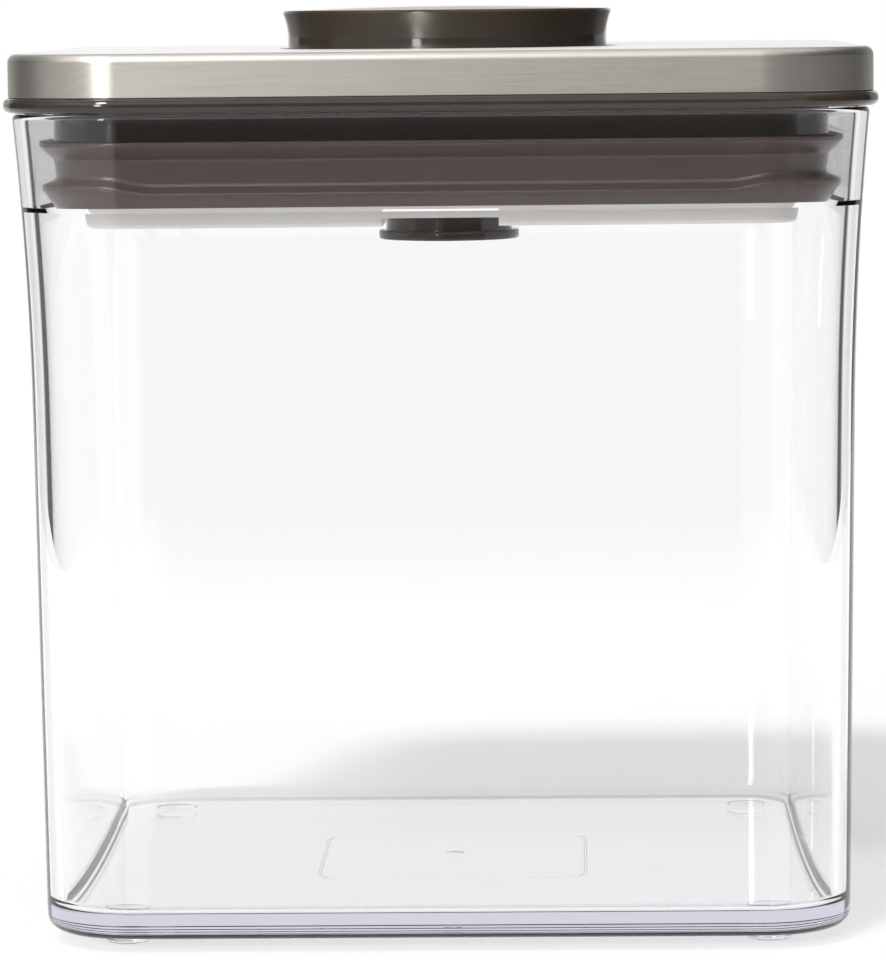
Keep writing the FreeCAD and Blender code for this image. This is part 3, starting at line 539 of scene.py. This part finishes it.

# %% [markdown]
# ## Brushed steel
# The cover was brushed as a flat sheet, along one direction, and then pressed. So on the
# front the lines run level, on the sides they run upright, and round the corners they
# fan from one to the other. The pattern therefore has to live on the flat blank: a UV map
# holds, for each point, where it lay on the sheet before pressing. Fine and coarse lines are
# noise stretched along the brushing, and the shader spreads highlights across the lines.
# Looked at almost along the sheet, as the flat top is here, metal turns into a white mirror, so
# there the base colour is painted white: a painted reflection.


# %% Brushed steel finish
def brushed_steel(name, uv):
    tree, shader, material = new_finish(
        name, (0.6, 0.57, 0.53), 0.36, Metallic=1.0, Anisotropic=0.7, Anisotropic_Rotation=0.25
    )
    fine = grain(tree, (110, 4200, 1), detail=4.0, uv=uv)
    coarse = grain(tree, (28, 900, 1), detail=3.0, uv=uv)
    level = add(tree, "ShaderNodeMix", {"Factor": 0.35}, data_type="FLOAT")
    link(tree, (fine, level.inputs["A"]), (coarse, level.inputs["B"]))
    lines = level.outputs["Result"]
    # Painted reflection: where the sheet is seen nearly edge-on, the base colour is mixed to
    # white.
    edge_on = add(tree, "ShaderNodeLayerWeight", {"Blend": 0.5})
    painted_grazing_white = add(tree, "ShaderNodeMapRange", {"From Min": 0.972, "From Max": 0.987})
    colour = add(tree, "ShaderNodeMix", data_type="RGBA")
    colour.inputs["B"].default_value = (1, 1, 1, 1)
    link(
        tree,
        (edge_on.outputs["Facing"], painted_grazing_white.inputs["Value"]),
        (painted_grazing_white.outputs["Result"], colour.inputs["Factor"]),
        (shade(tree, lines, (0.50, 0.465, 0.42), (0.74, 0.71, 0.655)), colour.inputs["A"]),
        (colour.outputs["Result"], shader.inputs["Base Color"]),
        (spread(tree, lines, 0.42, 0.29), shader.inputs["Roughness"]),
    )
    bump(tree, lines, shader, 0.006 * MM, 0.6)
    along = add(tree, "ShaderNodeTangent", direction_type="UV_MAP", uv_map=uv)
    link(tree, (along.outputs["Tangent"], shader.inputs["Tangent"]))
    return material


BLANK = "blank"
cover_steel = brushed_steel("brushed_steel", BLANK)
print("finish:", cover_steel.name)

# %% [markdown]
# ## The steel cover
# The cover is one pressed sheet: a flat top with the button's round hole, a rolled edge and
# a straight skirt. The skirt is swept with both its faces, and the top is two flat fills
# between the skirt and the hole. The blank's UV is worked out from each vertex's place:
# past the flat top, it goes on outwards by the length of sheet that was bent down.

# %% Cover shape
LID_TOP, SKIRT_LOW, COVER_HALF = 165.0, 157.0, 79.5
SHEET, COVER_ROUND, COVER_HOLE, CUT_ROUND = 0.6, 1.6, 32.6, 0.2
PLATE_INSET, HOLE_MARGIN, COVER_PATH = 4, 1, 77
flat_half = COVER_HALF - COVER_ROUND
plate_half = flat_half - PLATE_INSET
cover_section = rounded([
    (plate_half, LID_TOP - SHEET, 0),
    (COVER_HALF - SHEET, LID_TOP - SHEET, COVER_ROUND - SHEET),
    (COVER_HALF - SHEET, SKIRT_LOW, CUT_ROUND),
    (COVER_HALF, SKIRT_LOW, CUT_ROUND),
    (COVER_HALF, LID_TOP, COVER_ROUND),
    (plate_half, LID_TOP, 0),
])
cover = swept("steel_cover", cover_section, COVER_PATH * MM, cover_steel)
bm = bmesh.new()
bm.from_mesh(cover.data)
bmesh.ops.remove_doubles(bm, verts=bm.verts, dist=MERGE)
hole = rounded([
    (COVER_HOLE + HOLE_MARGIN, LID_TOP, 0), (COVER_HOLE, LID_TOP, CUT_ROUND),
    (COVER_HOLE, LID_TOP - SHEET, CUT_ROUND), (COVER_HOLE + HOLE_MARGIN, LID_TOP - SHEET, 0),
])
hole_top, hole_under = stacked(
    bm, [circle_points(0, 0, reach, up, TURN_STEPS) for reach, up in hole]
)
top_ring = [e for e in ring_edges(bm, LID_TOP * MM) if e not in hole_top]
under_ring = [e for e in ring_edges(bm, (LID_TOP - SHEET) * MM) if e not in hole_under]
fill(bm, top_ring, hole_top)
fill(bm, under_ring, hole_under)
bm.to_mesh(cover.data)
bm.free()
smooth_skin(cover)


# %% Where each point lay on the flat sheet
def ring_out(x, y):
    """Outward direction of the rounded-square ring through a point."""
    over = Vector((max(abs(x) - CORNER_REACH, 0), max(abs(y) - CORNER_REACH, 0)))
    if not (over.x and over.y):
        over = Vector((1, 0)) if abs(x) > abs(y) else Vector((0, 1))
    return Vector((math.copysign(over.x, x), math.copysign(over.y, y))).normalized()


def on_blank(place):
    """Where a point of the cover lay on the sheet before it was pressed."""
    flat = Vector((place.x, place.y))
    out = ring_out(*flat)
    over = Vector((max(abs(place.x) - CORNER_REACH, 0), max(abs(place.y) - CORNER_REACH, 0)))
    reach = over.length if over.x and over.y else max(abs(place.x), abs(place.y)) - CORNER_REACH
    past = reach + CORNER_REACH - flat_half * MM
    if past <= 0:
        return flat
    bend = COVER_ROUND * MM
    drop = (LID_TOP - COVER_ROUND) * MM - place.z
    sheet = bend * math.pi / 2 + drop if drop > 0 else bend * math.asin(min(past / bend, 1))
    return flat + out * (sheet - past)


def lay_blank(piece, rule):
    layer = piece.data.uv_layers.new(name=BLANK)
    for corner in piece.data.loops:
        layer.data[corner.index].uv = rule(piece.data.vertices[corner.vertex_index].co)


lay_blank(cover, on_blank)
dress(cover, "lid", "brushed_steel", "lid_cover")
print("cover box:", [round(side / MM, 1) for side in cover.dimensions])

# %% [markdown]
# ## Taupe plastic and silicone
# The lid's carrier and the button are a warm dark, glossy plastic with a trace of grain from
# the mould. The gasket is silicone of a similar colour: lighter, duller and smooth, with a
# trace of sheen. The tray under the lid is pale, and light enters it, so it gets some
# subsurface scattering.


# %% Moulded finishes
def moulded(name, dark, light, rough, pores_per_metre=0, depth=0.0, **inputs):
    """Mottled colour and roughness; pores, where there are any, take over the roughness."""
    tree, shader, material = new_finish(name, light, rough[1], **inputs)
    mottle = uneven = grain(tree, (45, 45, 45), detail=3.0)
    if pores_per_metre:
        uneven = grain(tree, (pores_per_metre,) * 3, detail=2.0)
        bump(tree, uneven, shader, depth * MM, 0.4)
    link(
        tree,
        (shade(tree, mottle, dark, light), shader.inputs["Base Color"]),
        (spread(tree, uneven, *rough), shader.inputs["Roughness"]),
    )
    return material


taupe_plastic = moulded(
    "taupe_plastic", (0.034, 0.026, 0.020), (0.043, 0.033, 0.026), (0.05, 0.08), 2600, 0.002
)
taupe_silicone = moulded(
    "taupe_silicone", (0.0935, 0.0675, 0.0585), (0.0945, 0.0685, 0.0595), (0.279, 0.281),
    Sheen_Weight=0.05,
)
pale_plastic = moulded(
    "pale_plastic", (0.90, 0.87, 0.82), (0.95, 0.93, 0.88), (0.26, 0.36), 1800, 0.002,
    Subsurface_Weight=0.25, Subsurface_Scale=1.5 * MM,
)
print("finishes:", taupe_plastic.name, taupe_silicone.name, pale_plastic.name)

# %% [markdown]
# ## The gasket
# The gasket is a ring with a thin lip above, a waist, and a heavier lip below. Its section
# goes round the same path as the tub's wall. In the corners the lower lip's upper edge
# climbs more than a millimetre, in an S, which gives it more to fold there. After the sweep
# the straight sides get extra rows of vertices near the corners, and the vertices of that lip
# are lifted by a smooth step that starts just before each corner.

# %% Gasket
gasket_section = rounded([
    (69.5, 149.1, 0.2), (74.0, 149.1, 0.4), (74.0, 148.2, 0.4), (71.3, 145.7, 1.2),
    (70.8, 140.8, 1.2), (73.5, 139.7, 0.4), (73.5, 138.8, 0.4), (70.6, 136.3, 0.6),
    (66.41, 137.0, 0.3), (66.76, 139.0, 0.3), (69.5, 142.0, 0.8),
], closed=True)
GASKET_PATH, LIP_OUT = 71 * MM, 70 * MM
gasket = swept("gasket_ring", gasket_section, GASKET_PATH, taupe_silicone, closed=True)
LIP_RISE, RISE_FROM, RISE_TO = 1.4 * MM, 52 * MM, 62 * MM
LIP_FOOT, LIP_EDGE, WAIST_LOW, WAIST_HIGH = 136.4 * MM, 138.8 * MM, 141 * MM, 145 * MM
RISE_CUTS = 8


def cut_across(piece, places):
    """Adds rows of vertices across the straight sides, at both signs of each place."""
    bm = bmesh.new()
    bm.from_mesh(piece.data)
    for axis in (Vector((1, 0, 0)), Vector((0, 1, 0))):
        for place in [sign * place for sign in (-1, 1) for place in places]:
            everything = bm.verts[:] + bm.edges[:] + bm.faces[:]
            bmesh.ops.bisect_plane(bm, geom=everything, plane_co=axis * place, plane_no=axis)
    bm.to_mesh(piece.data)
    bm.free()


def smooth_step(value, low, high):
    share = min(max((value - low) / (high - low), 0), 1)
    return share * share * (3 - 2 * share)


straight = CORNER_REACH - RISE_FROM
cut_across(gasket, [RISE_FROM + straight * step / RISE_CUTS for step in range(RISE_CUTS)])
for vertex in gasket.data.vertices:
    place = vertex.co
    corner = smooth_step(min(abs(place.x), abs(place.y)), RISE_FROM, RISE_TO)
    on_lip = smooth_step(place.z, LIP_FOOT, LIP_EDGE)
    on_lip *= smooth_step(-place.z, -WAIST_HIGH, -WAIST_LOW)
    if max(abs(place.x), abs(place.y)) > LIP_OUT or corner:
        place.z += LIP_RISE * corner * on_lip
dress(smooth_skin(gasket), "lid", "taupe_silicone", "gasket")

# %% [markdown]
# ## The button
# The button's shell flares like a shallow funnel and carries a domed steel disc. Both are
# turned. The flare is part of a large circle, so it is a few points along that arc.

# %% Button shell and cap
BUTTON_TOP, WAIST, RIM, FLARE_LOW, FLARE_HIGH = 172.3, 31.0, 32.0, 166.8, 171.8
CAP_SEAT, CAP_RADIUS, CAP_SHEET, CAP_CROWN = 171.7, 30.4, 0.6, 0.7
SHELL_STEPS, CAP_STEPS = 8, 16
flare_corners = [
    (WAIST + (RIM - WAIST) * share * share, FLARE_LOW + (FLARE_HIGH - FLARE_LOW) * share, 0)
    for share in (step / SHELL_STEPS for step in range(SHELL_STEPS))
]
shell_section = rounded([
    (29.0, 161.2, 0.2), (32.7, 161.2, 0.2), (32.7, 162.2, 0.2), (WAIST, 162.2, 0.2),
    *flare_corners,
    (RIM, FLARE_HIGH, 0.2), (RIM - 0.3, BUTTON_TOP, 0.3), (CAP_RADIUS + 0.1, BUTTON_TOP, 0.1),
    (CAP_RADIUS + 0.1, CAP_SEAT, 0), (2.85, CAP_SEAT, 0), (2.85, 170.1, 0), (1.4, 170.1, 0),
    (1.4, 169.3, 0), (7.06, 169.3, 0), (7.06, 163.6, 0.2), (9.46, 163.6, 0.2), (9.46, 169.3, 0.3),
    (29.0, 169.3, 0.5),
], closed=True)
button = turned("button_body", shell_section, taupe_plastic, closed=True)
dress(smooth_skin(button), "button", "taupe_plastic", "button_shell")


def dome(height, radius):
    return CAP_CROWN * (1 - (radius / CAP_RADIUS) ** 2) + height


radii = [CAP_RADIUS * step / CAP_STEPS for step in range(CAP_STEPS + 1)]
cap_section = [(reach * MM, dome(CAP_SEAT, reach) * MM) for reach in radii]
cap_edge = rounded([
    (CAP_RADIUS - 1, CAP_SEAT, 0), (CAP_RADIUS, CAP_SEAT, 0.1),
    (CAP_RADIUS, CAP_SEAT + CAP_SHEET, 0.3), (CAP_RADIUS - 1, CAP_SEAT + CAP_SHEET + 0.05, 0),
])[1:-1]
over = [(reach * MM, dome(CAP_SEAT + CAP_SHEET, reach) * MM) for reach in radii[-2::-1]]
cap = turned("button_disc", cap_section[:-1] + cap_edge + over, cover_steel)
smooth_skin(cap)
lay_blank(cap, lambda place: (place.x, place.y))
dress(cap, "button", "brushed_steel", "button_cap")

# %% [markdown]
# ## Pieces that keep the solid's own shape
# The lid's carrier, the tray that spreads the gasket and the knob are right as they were
# built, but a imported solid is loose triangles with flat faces. A merged copy with smooth,
# area-weighted normals shows their round edges without changing any shape.


# %% Smooth copies
def smooth_copy(name, node, material):
    piece = bpy.data.objects.new(name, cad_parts[node].data.copy())
    bpy.context.collection.objects.link(piece)
    piece.data.materials.clear()
    piece.data.materials.append(material)
    return smooth_skin(piece, recalculate=False)


dress(smooth_copy("lid_carrier", "lid_body", taupe_plastic), "lid", "taupe_plastic", "lid_body")
dress(smooth_copy("turn_knob", "lock_knob", taupe_plastic), "knob", "taupe_plastic", "lock_knob")

# %% [markdown]
# ## The tray's finger grooves
# Seen from the front, the knob's neck shows dark below the gasket, so the tray can't be in
# front of it there. A shallow groove runs from the knob to the tray's front edge, and another
# to its back edge, which also leaves room for two fingers. Two boxes cut them with a Boolean,
# and the hub in the middle takes the knob's dark colour.

# %% Tray with grooves
tray = smooth_copy("spreader_tray", "spreader", pale_plastic)
GROOVE_HALF, GROOVE_FROM, GROOVE_LONG, HUB_RADIUS = 10.7, 11.0, 70, 11.5
GROOVE_LOW, GROOVE_HIGH = 132.0, 134.6
bm = bmesh.new()
for front in (-1, 1):
    middle = (0, front * (GROOVE_FROM + GROOVE_LONG / 2) * MM, (GROOVE_LOW + GROOVE_HIGH) / 2 * MM)
    box = Matrix.Translation(middle)
    sides = (2 * GROOVE_HALF * MM, GROOVE_LONG * MM, (GROOVE_HIGH - GROOVE_LOW) * MM, 1)
    bmesh.ops.create_cube(bm, size=1, matrix=box @ Matrix.Diagonal(sides))
cutter = bpy.data.objects.new("grooves", bpy.data.meshes.new("grooves"))
bpy.context.collection.objects.link(cutter)
bm.to_mesh(cutter.data)
bm.free()
cut = tray.modifiers.new("grooves", "BOOLEAN")
cut.operation, cut.solver, cut.object = "DIFFERENCE", "EXACT", cutter
plain_mesh(tray)
bpy.data.objects.remove(cutter)
smooth_skin(tray, recalculate=False)
tray.data.materials.clear()
tray.data.materials.append(pale_plastic)
tray.data.materials.append(taupe_plastic)
for face in tray.data.polygons:
    face.material_index = int(Vector(face.center[:2]).length < HUB_RADIUS * MM)
dress(tray, "button", "pale_plastic", "spreader")
print("tray faces:", len(tray.data.polygons))

# %% [markdown]
# ## Wire pieces
# The return spring and the latch arm are drawn steel wire. The arm keeps its solid; for the
# spring, a third tree gives a path a round section. It has a closed turn at each end and open
# turns between, so its path is made of points whose climb changes from turn to turn.


# %% Wire tree and drawn steel
WIRE_SIDES = 14


def wire_tree():
    tree, start, end = new_tree("wire", Radius="Float", Path="Object", Material="Material")
    path = add(tree, "GeometryNodeObjectInfo")
    ring = add(tree, "GeometryNodeCurvePrimitiveCircle", {"Resolution": WIRE_SIDES}, mode="RADIUS")
    sweep = add(tree, "GeometryNodeCurveToMesh", {"Fill Caps": True})
    link(
        tree,
        (start.outputs["Path"], path.inputs["Object"]),
        (start.outputs["Radius"], ring.inputs["Radius"]),
        (path.outputs["Geometry"], sweep.inputs["Curve"]),
        (ring.outputs["Curve"], sweep.inputs["Profile Curve"]),
    )
    end_tree(tree, start, end, sweep.outputs["Mesh"])
    return tree


WIRE = wire_tree()
tree, shader, drawn_steel = new_finish("drawn_steel", (0.6, 0.6, 0.6), 0.25, Metallic=1.0)
die_marks = grain(tree, (700, 700, 90), detail=3.0)
link(
    tree,
    (shade(tree, die_marks, (0.52, 0.52, 0.52), (0.68, 0.68, 0.67)), shader.inputs["Base Color"]),
    (spread(tree, die_marks, 0.18, 0.34), shader.inputs["Roughness"]),
)

# %% Return spring
SPRING_RADIUS, SPRING_WIRE, TURNS = 13.0, 0.65, 5.5
SPRING_LOW, SPRING_HIGH, END_TURNS, END_CLIMB = 153.3, 168.35, 1.0, 1.8
POINTS_PER_TURN = 48


def spring_height(turn):
    """Height of the wire's middle after a number of turns."""
    middle = TURNS - 2 * END_TURNS
    climb = SPRING_HIGH - SPRING_LOW - 2 * END_TURNS * END_CLIMB
    low = min(turn, END_TURNS) * END_CLIMB
    high = max(turn - TURNS + END_TURNS, 0) * END_CLIMB
    between = min(max(turn - END_TURNS, 0), middle) / middle
    return SPRING_LOW + low + high + climb * between


spring_points = []
for step in range(int(TURNS * POINTS_PER_TURN) + 1):
    turn = step / POINTS_PER_TURN
    around = 2 * math.pi * turn
    x, y = SPRING_RADIUS * math.cos(around), SPRING_RADIUS * math.sin(around)
    spring_points.append((x * MM, y * MM, spring_height(turn) * MM))
line = curve_through(spring_points, False)
spring = run_tree("spring_coil", WIRE, Radius=SPRING_WIRE * MM, Path=line, Material=drawn_steel)
bpy.data.objects.remove(line)
smooth_skin(spring)
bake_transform(spring)
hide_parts("return_spring")

# %% [markdown]
# ## Hidden pieces
# The guide plate, its seal, the plunger with its ring, the screws and the latch arm sit
# inside the lid. Their solids already have the right shape, so they stay and get the finish
# of what they are made of.

# %% Finishes for the hidden solids
hidden = {
    taupe_plastic: ("guide_plate", "plunger"),
    taupe_silicone: ("guide_plate_seal", "plunger_o_ring"),
    drawn_steel: ("guide_plate_screws", "button_screw", "latch_arm"),
}
for material, nodes in hidden.items():
    for node in nodes:
        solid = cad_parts[node]
        solid.data.materials.clear()
        solid.data.materials.append(material)
print("hidden solids finished:", sum(len(nodes) for nodes in hidden.values()))

# %% [markdown]
# ## Floor and light
# The keeper stands on a plain white floor in soft studio light. A lamp to the left of the
# camera and above it makes the shadow. The floor fades out in front and ends not far to the
# sides, because clear walls mirror and bend what lies there, and on the real shot that was
# dark: it draws the dark lines down the side walls. The light stays at a plain level. What is
# missing to white is added to the floor itself, and only where it is looked at: directly, in
# metal or through the clear plastic. Its shadow stays.

# %% Floor
FLOOR_FRONT, FLOOR_FULL, FLOOR_BACK, FLOOR_WIDE = -0.8, -0.22, 9.0, 0.62
FLOOR_GLOW, FLOOR_DROP = 0.3, 0.1 * MM


def looked_at(tree):
    """1 for what the camera sees directly, in metal or through the clear plastic."""
    path = add(tree, "ShaderNodeLightPath")
    mirrored = add(tree, "ShaderNodeMath", operation="MAXIMUM")
    either = add(tree, "ShaderNodeMath", operation="MAXIMUM")
    link(
        tree,
        (path.outputs["Is Glossy Ray"], mirrored.inputs[0]),
        (path.outputs["Is Transmission Ray"], mirrored.inputs[1]),
        (mirrored.outputs[0], either.inputs[0]),
        (path.outputs["Is Camera Ray"], either.inputs[1]),
    )
    return either.outputs[0]


floor_mesh = bpy.data.meshes.new("floor")
floor_mesh.from_pydata(
    [(-FLOOR_WIDE, FLOOR_FRONT, 0), (FLOOR_WIDE, FLOOR_FRONT, 0),
     (FLOOR_WIDE, FLOOR_BACK, 0), (-FLOOR_WIDE, FLOOR_BACK, 0)], [], [(0, 1, 2, 3)]
)
floor = bpy.data.objects.new("floor", floor_mesh)
bpy.context.collection.objects.link(floor)
floor.location.z = -FLOOR_DROP
tree, shader, floor_white = new_finish(
    "floor_white", (0.98, 0.98, 0.98), 0.9, Specular_IOR_Level=0.0
)
place = add(tree, "ShaderNodeTexCoord")
apart = add(tree, "ShaderNodeSeparateXYZ")
fade = add(
    tree, "ShaderNodeMapRange", {"From Min": FLOOR_FRONT, "From Max": FLOOR_FULL},
    interpolation_type="SMOOTHSTEP",
)
nothing = add(tree, "ShaderNodeBsdfTransparent")
cover_up = add(tree, "ShaderNodeMixShader")
white = add(tree, "ShaderNodeEmission", {"Strength": 1.0})
whiten = add(tree, "ShaderNodeMixShader")
share = add(tree, "ShaderNodeMath", {1: FLOOR_GLOW}, operation="MULTIPLY")
link(
    tree,
    (looked_at(tree), share.inputs[0]),
    (share.outputs[0], whiten.inputs["Fac"]),
    (shader.outputs["BSDF"], whiten.inputs[1]),
    (white.outputs["Emission"], whiten.inputs[2]),
    (place.outputs["Object"], apart.inputs[0]),
    (apart.outputs["Y"], fade.inputs["Value"]),
    (fade.outputs["Result"], cover_up.inputs["Fac"]),
    (nothing.outputs["BSDF"], cover_up.inputs[1]),
    (whiten.outputs["Shader"], cover_up.inputs[2]),
    (cover_up.outputs["Shader"], tree.nodes["Material Output"].inputs["Surface"]),
)
floor_mesh.materials.append(floor_white)

# %% [markdown]
# ## Surround
# Steel and clear plastic are only as good as what they mirror, so the surround has the panels
# and dark cards of a studio. Brightness goes by bearing, once for a band near the horizon and
# once for a band higher up, with an even level overhead. A tall narrow light on the left draws
# the upright highlights on the button and the steel. The camera sees plain white all round.
# Metal mirrors the white straight behind the keeper, a wall seen along its length shows it
# further round, and a look right through the tub, past four faces, shows it to the sides too.

# %% Levels round about
world = bpy.data.worlds.new("studio")
bpy.context.scene.world = world
world.use_nodes = True
tree = world.node_tree
background = tree.nodes["Background"]
LOW_BAND = [
    (-180, 0.5), (-164, 0.6), (-138, 0.7), (-132, 0.07), (-94, 0.07), (-85, 0.45), (-36, 0.5),
    (-9, 0.5), (-7, 0.1), (58, 0.08), (63, 0.05), (132, 0.05), (138, 0.5), (164, 0.5), (180, 0.5),
]
HIGH_BAND = [
    (-180, 0.4), (-176, 0.4), (-168, 0.15), (-120, 0.15), (-85, 0.45), (-60, 1.5), (-10, 1.5),
    (8, 0.85), (60, 0.2), (140, 0.08), (168, 0.08), (176, 0.4), (180, 0.4),
]
STRIP = [(-180, 0), (-24, 0), (-23, 15), (-18.5, 15), (-17.5, 0), (180, 0)]
OVERHEAD = 0.88
BRIGHTEST = 16.0
LOW_TO_HIGH, HIGH_TO_OVERHEAD, STRIP_FROM, STRIP_TO = (14, 24), (40, 60), -1, 32


def white_behind(start, full):
    """Stops for a white that sets in at a bearing on both sides and is full at the other."""
    right = [(start, 0), (full, BRIGHTEST), (180, BRIGHTEST)]
    return [(-degrees, level) for degrees, level in right[::-1]] + right


MIRRORED = white_behind(156, 164)
IN_A_WALL = white_behind(132, 138)
PAST_THE_TUB, TUB_FACES = white_behind(60, 66), 4


def round_about(tree, turn, stops):
    """Brightness by bearing, from stops in degrees: 0 is the front, 90 the right."""
    node = add(tree, "ShaderNodeFloatCurve")
    line = node.mapping.curves[0]
    while len(line.points) < len(stops):
        line.points.new(0.5, 0.5)
    for point, (degrees, level) in zip(line.points, stops):
        point.location = ((degrees + 180) / 360, level / BRIGHTEST)
        point.handle_type = "VECTOR"
    node.mapping.update()
    link(tree, (turn, node.inputs["Value"]))
    return node.outputs["Value"]


def by_height(tree, height, low, high, below, above):
    """Blends from one level to another between two elevations in degrees."""
    share = add(tree, "ShaderNodeMapRange", {
        "From Min": math.sin(math.radians(low)), "From Max": math.sin(math.radians(high)),
    })
    mix = add(tree, "ShaderNodeMix", data_type="FLOAT")
    link(tree, (height, share.inputs["Value"]), (share.outputs["Result"], mix.inputs["Factor"]))
    link(tree, (below, mix.inputs["A"]))
    if isinstance(above, float):
        mix.inputs["B"].default_value = above
    else:
        link(tree, (above, mix.inputs["B"]))
    return mix.outputs["Result"]


# %% Join the bands
way = add(tree, "ShaderNodeTexCoord")
split = add(tree, "ShaderNodeSeparateXYZ")
back = add(tree, "ShaderNodeMath", {1: -1.0}, operation="MULTIPLY")
bearing = add(tree, "ShaderNodeMath", operation="ARCTAN2")
turn = add(tree, "ShaderNodeMapRange", {"From Min": -math.pi, "From Max": math.pi})
link(
    tree,
    (way.outputs["Generated"], split.inputs[0]),
    (split.outputs["Y"], back.inputs[0]),
    (split.outputs["X"], bearing.inputs[0]),
    (back.outputs[0], bearing.inputs[1]),
    (bearing.outputs[0], turn.inputs["Value"]),
)
low = round_about(tree, turn.outputs["Result"], LOW_BAND)
high = round_about(tree, turn.outputs["Result"], HIGH_BAND)
height = split.outputs["Z"]
level = by_height(tree, height, *LOW_TO_HIGH, low, high)
level = by_height(tree, height, *HIGH_TO_OVERHEAD, level, OVERHEAD / BRIGHTEST)
strip = round_about(tree, turn.outputs["Result"], STRIP)
strip_low, strip_high = (math.sin(math.radians(end)) for end in (STRIP_FROM, STRIP_TO))
over_low = add(tree, "ShaderNodeMath", {1: strip_low}, operation="GREATER_THAN")
under_high = add(tree, "ShaderNodeMath", {1: strip_high}, operation="LESS_THAN")
tall = add(tree, "ShaderNodeMath", operation="MULTIPLY")
lit = add(tree, "ShaderNodeMath", operation="MULTIPLY_ADD")
link(
    tree,
    (height, over_low.inputs[0]),
    (height, under_high.inputs[0]),
    (over_low.outputs[0], tall.inputs[0]),
    (under_high.outputs[0], tall.inputs[1]),
    (strip, lit.inputs[0]),
    (tall.outputs[0], lit.inputs[1]),
    (level, lit.inputs[2]),
)
seen = add(tree, "ShaderNodeLightPath")
past_tub = add(tree, "ShaderNodeMath", {1: TUB_FACES - 0.5}, operation="GREATER_THAN")
link(tree, (seen.outputs["Transmission Depth"], past_tub.inputs[0]))
whiter = seen.outputs["Is Camera Ray"]
for ray, stops in (
    (seen.outputs["Is Glossy Ray"], MIRRORED),
    (seen.outputs["Is Transmission Ray"], IN_A_WALL),
    (past_tub.outputs[0], PAST_THE_TUB),
):
    backdrop = round_about(tree, turn.outputs["Result"], stops)
    behind = by_height(tree, height, *LOW_TO_HIGH, backdrop, 0.0)
    plain = add(tree, "ShaderNodeMath", operation="MULTIPLY")
    either = add(tree, "ShaderNodeMath", operation="MAXIMUM")
    link(
        tree,
        (ray, plain.inputs[0]),
        (behind, plain.inputs[1]),
        (plain.outputs[0], either.inputs[0]),
        (whiter, either.inputs[1]),
    )
    whiter = either.outputs[0]
sky = add(tree, "ShaderNodeMix", data_type="FLOAT")
sky.inputs["B"].default_value = 1 / BRIGHTEST
background.inputs["Strength"].default_value = BRIGHTEST
link(
    tree,
    (lit.outputs[0], sky.inputs["A"]),
    (whiter, sky.inputs["Factor"]),
    (sky.outputs["Result"], background.inputs["Color"]),
)

# %% Softbox
KEY_BEARING, KEY_HEIGHT = math.radians(-24), math.radians(49)
KEY_WIDE, KEY_STRENGTH = math.radians(9), 1.6
key_light = bpy.data.lights.new("softbox", "SUN")
key_light.angle = KEY_WIDE
key_light.energy = KEY_STRENGTH
key = bpy.data.objects.new("softbox", key_light)
bpy.context.collection.objects.link(key)
across = math.cos(KEY_HEIGHT)
to_key = Vector((
    math.sin(KEY_BEARING) * across, -math.cos(KEY_BEARING) * across, math.sin(KEY_HEIGHT)
))
key.rotation_euler = to_key.to_track_quat("Z", "Y").to_euler()

# %% [markdown]
# ## Camera
# A long lens a metre away, just above the button, looking slightly down and turned a little
# to the right of the front face. The picture is 886 by 960, so the lens is set for the long
# side. The photographer's camera leaned by half a degree, and so does this one.

# %% Camera
CAMERA_BEARING, CAMERA_FAR, CAMERA_TALL = math.radians(1.4), 1.0, 0.1743
PITCH, LEAN, LENS, SENSOR = math.radians(5.4), math.radians(-0.58), 191.7, 36
SHIFT_X, SHIFT_Y = -0.0091, 0.0021
lens = bpy.data.cameras.new("camera")
lens.lens = LENS
lens.sensor_width = SENSOR
lens.shift_x, lens.shift_y = SHIFT_X, SHIFT_Y
camera = bpy.data.objects.new("camera", lens)
bpy.context.collection.objects.link(camera)
camera.location = (
    math.sin(CAMERA_BEARING) * CAMERA_FAR, -math.cos(CAMERA_BEARING) * CAMERA_FAR, CAMERA_TALL
)
ahead = Vector((
    -math.sin(CAMERA_BEARING) * math.cos(PITCH),
    math.cos(CAMERA_BEARING) * math.cos(PITCH),
    -math.sin(PITCH),
))
aim, tilt = ahead.to_track_quat("-Z", "Y"), Matrix.Rotation(LEAN, 3, "Z").to_quaternion()
camera.rotation_mode = "QUATERNION"
camera.rotation_quaternion = aim @ tilt
bpy.context.scene.camera = camera
bpy.context.scene.view_settings.view_transform = "Standard"
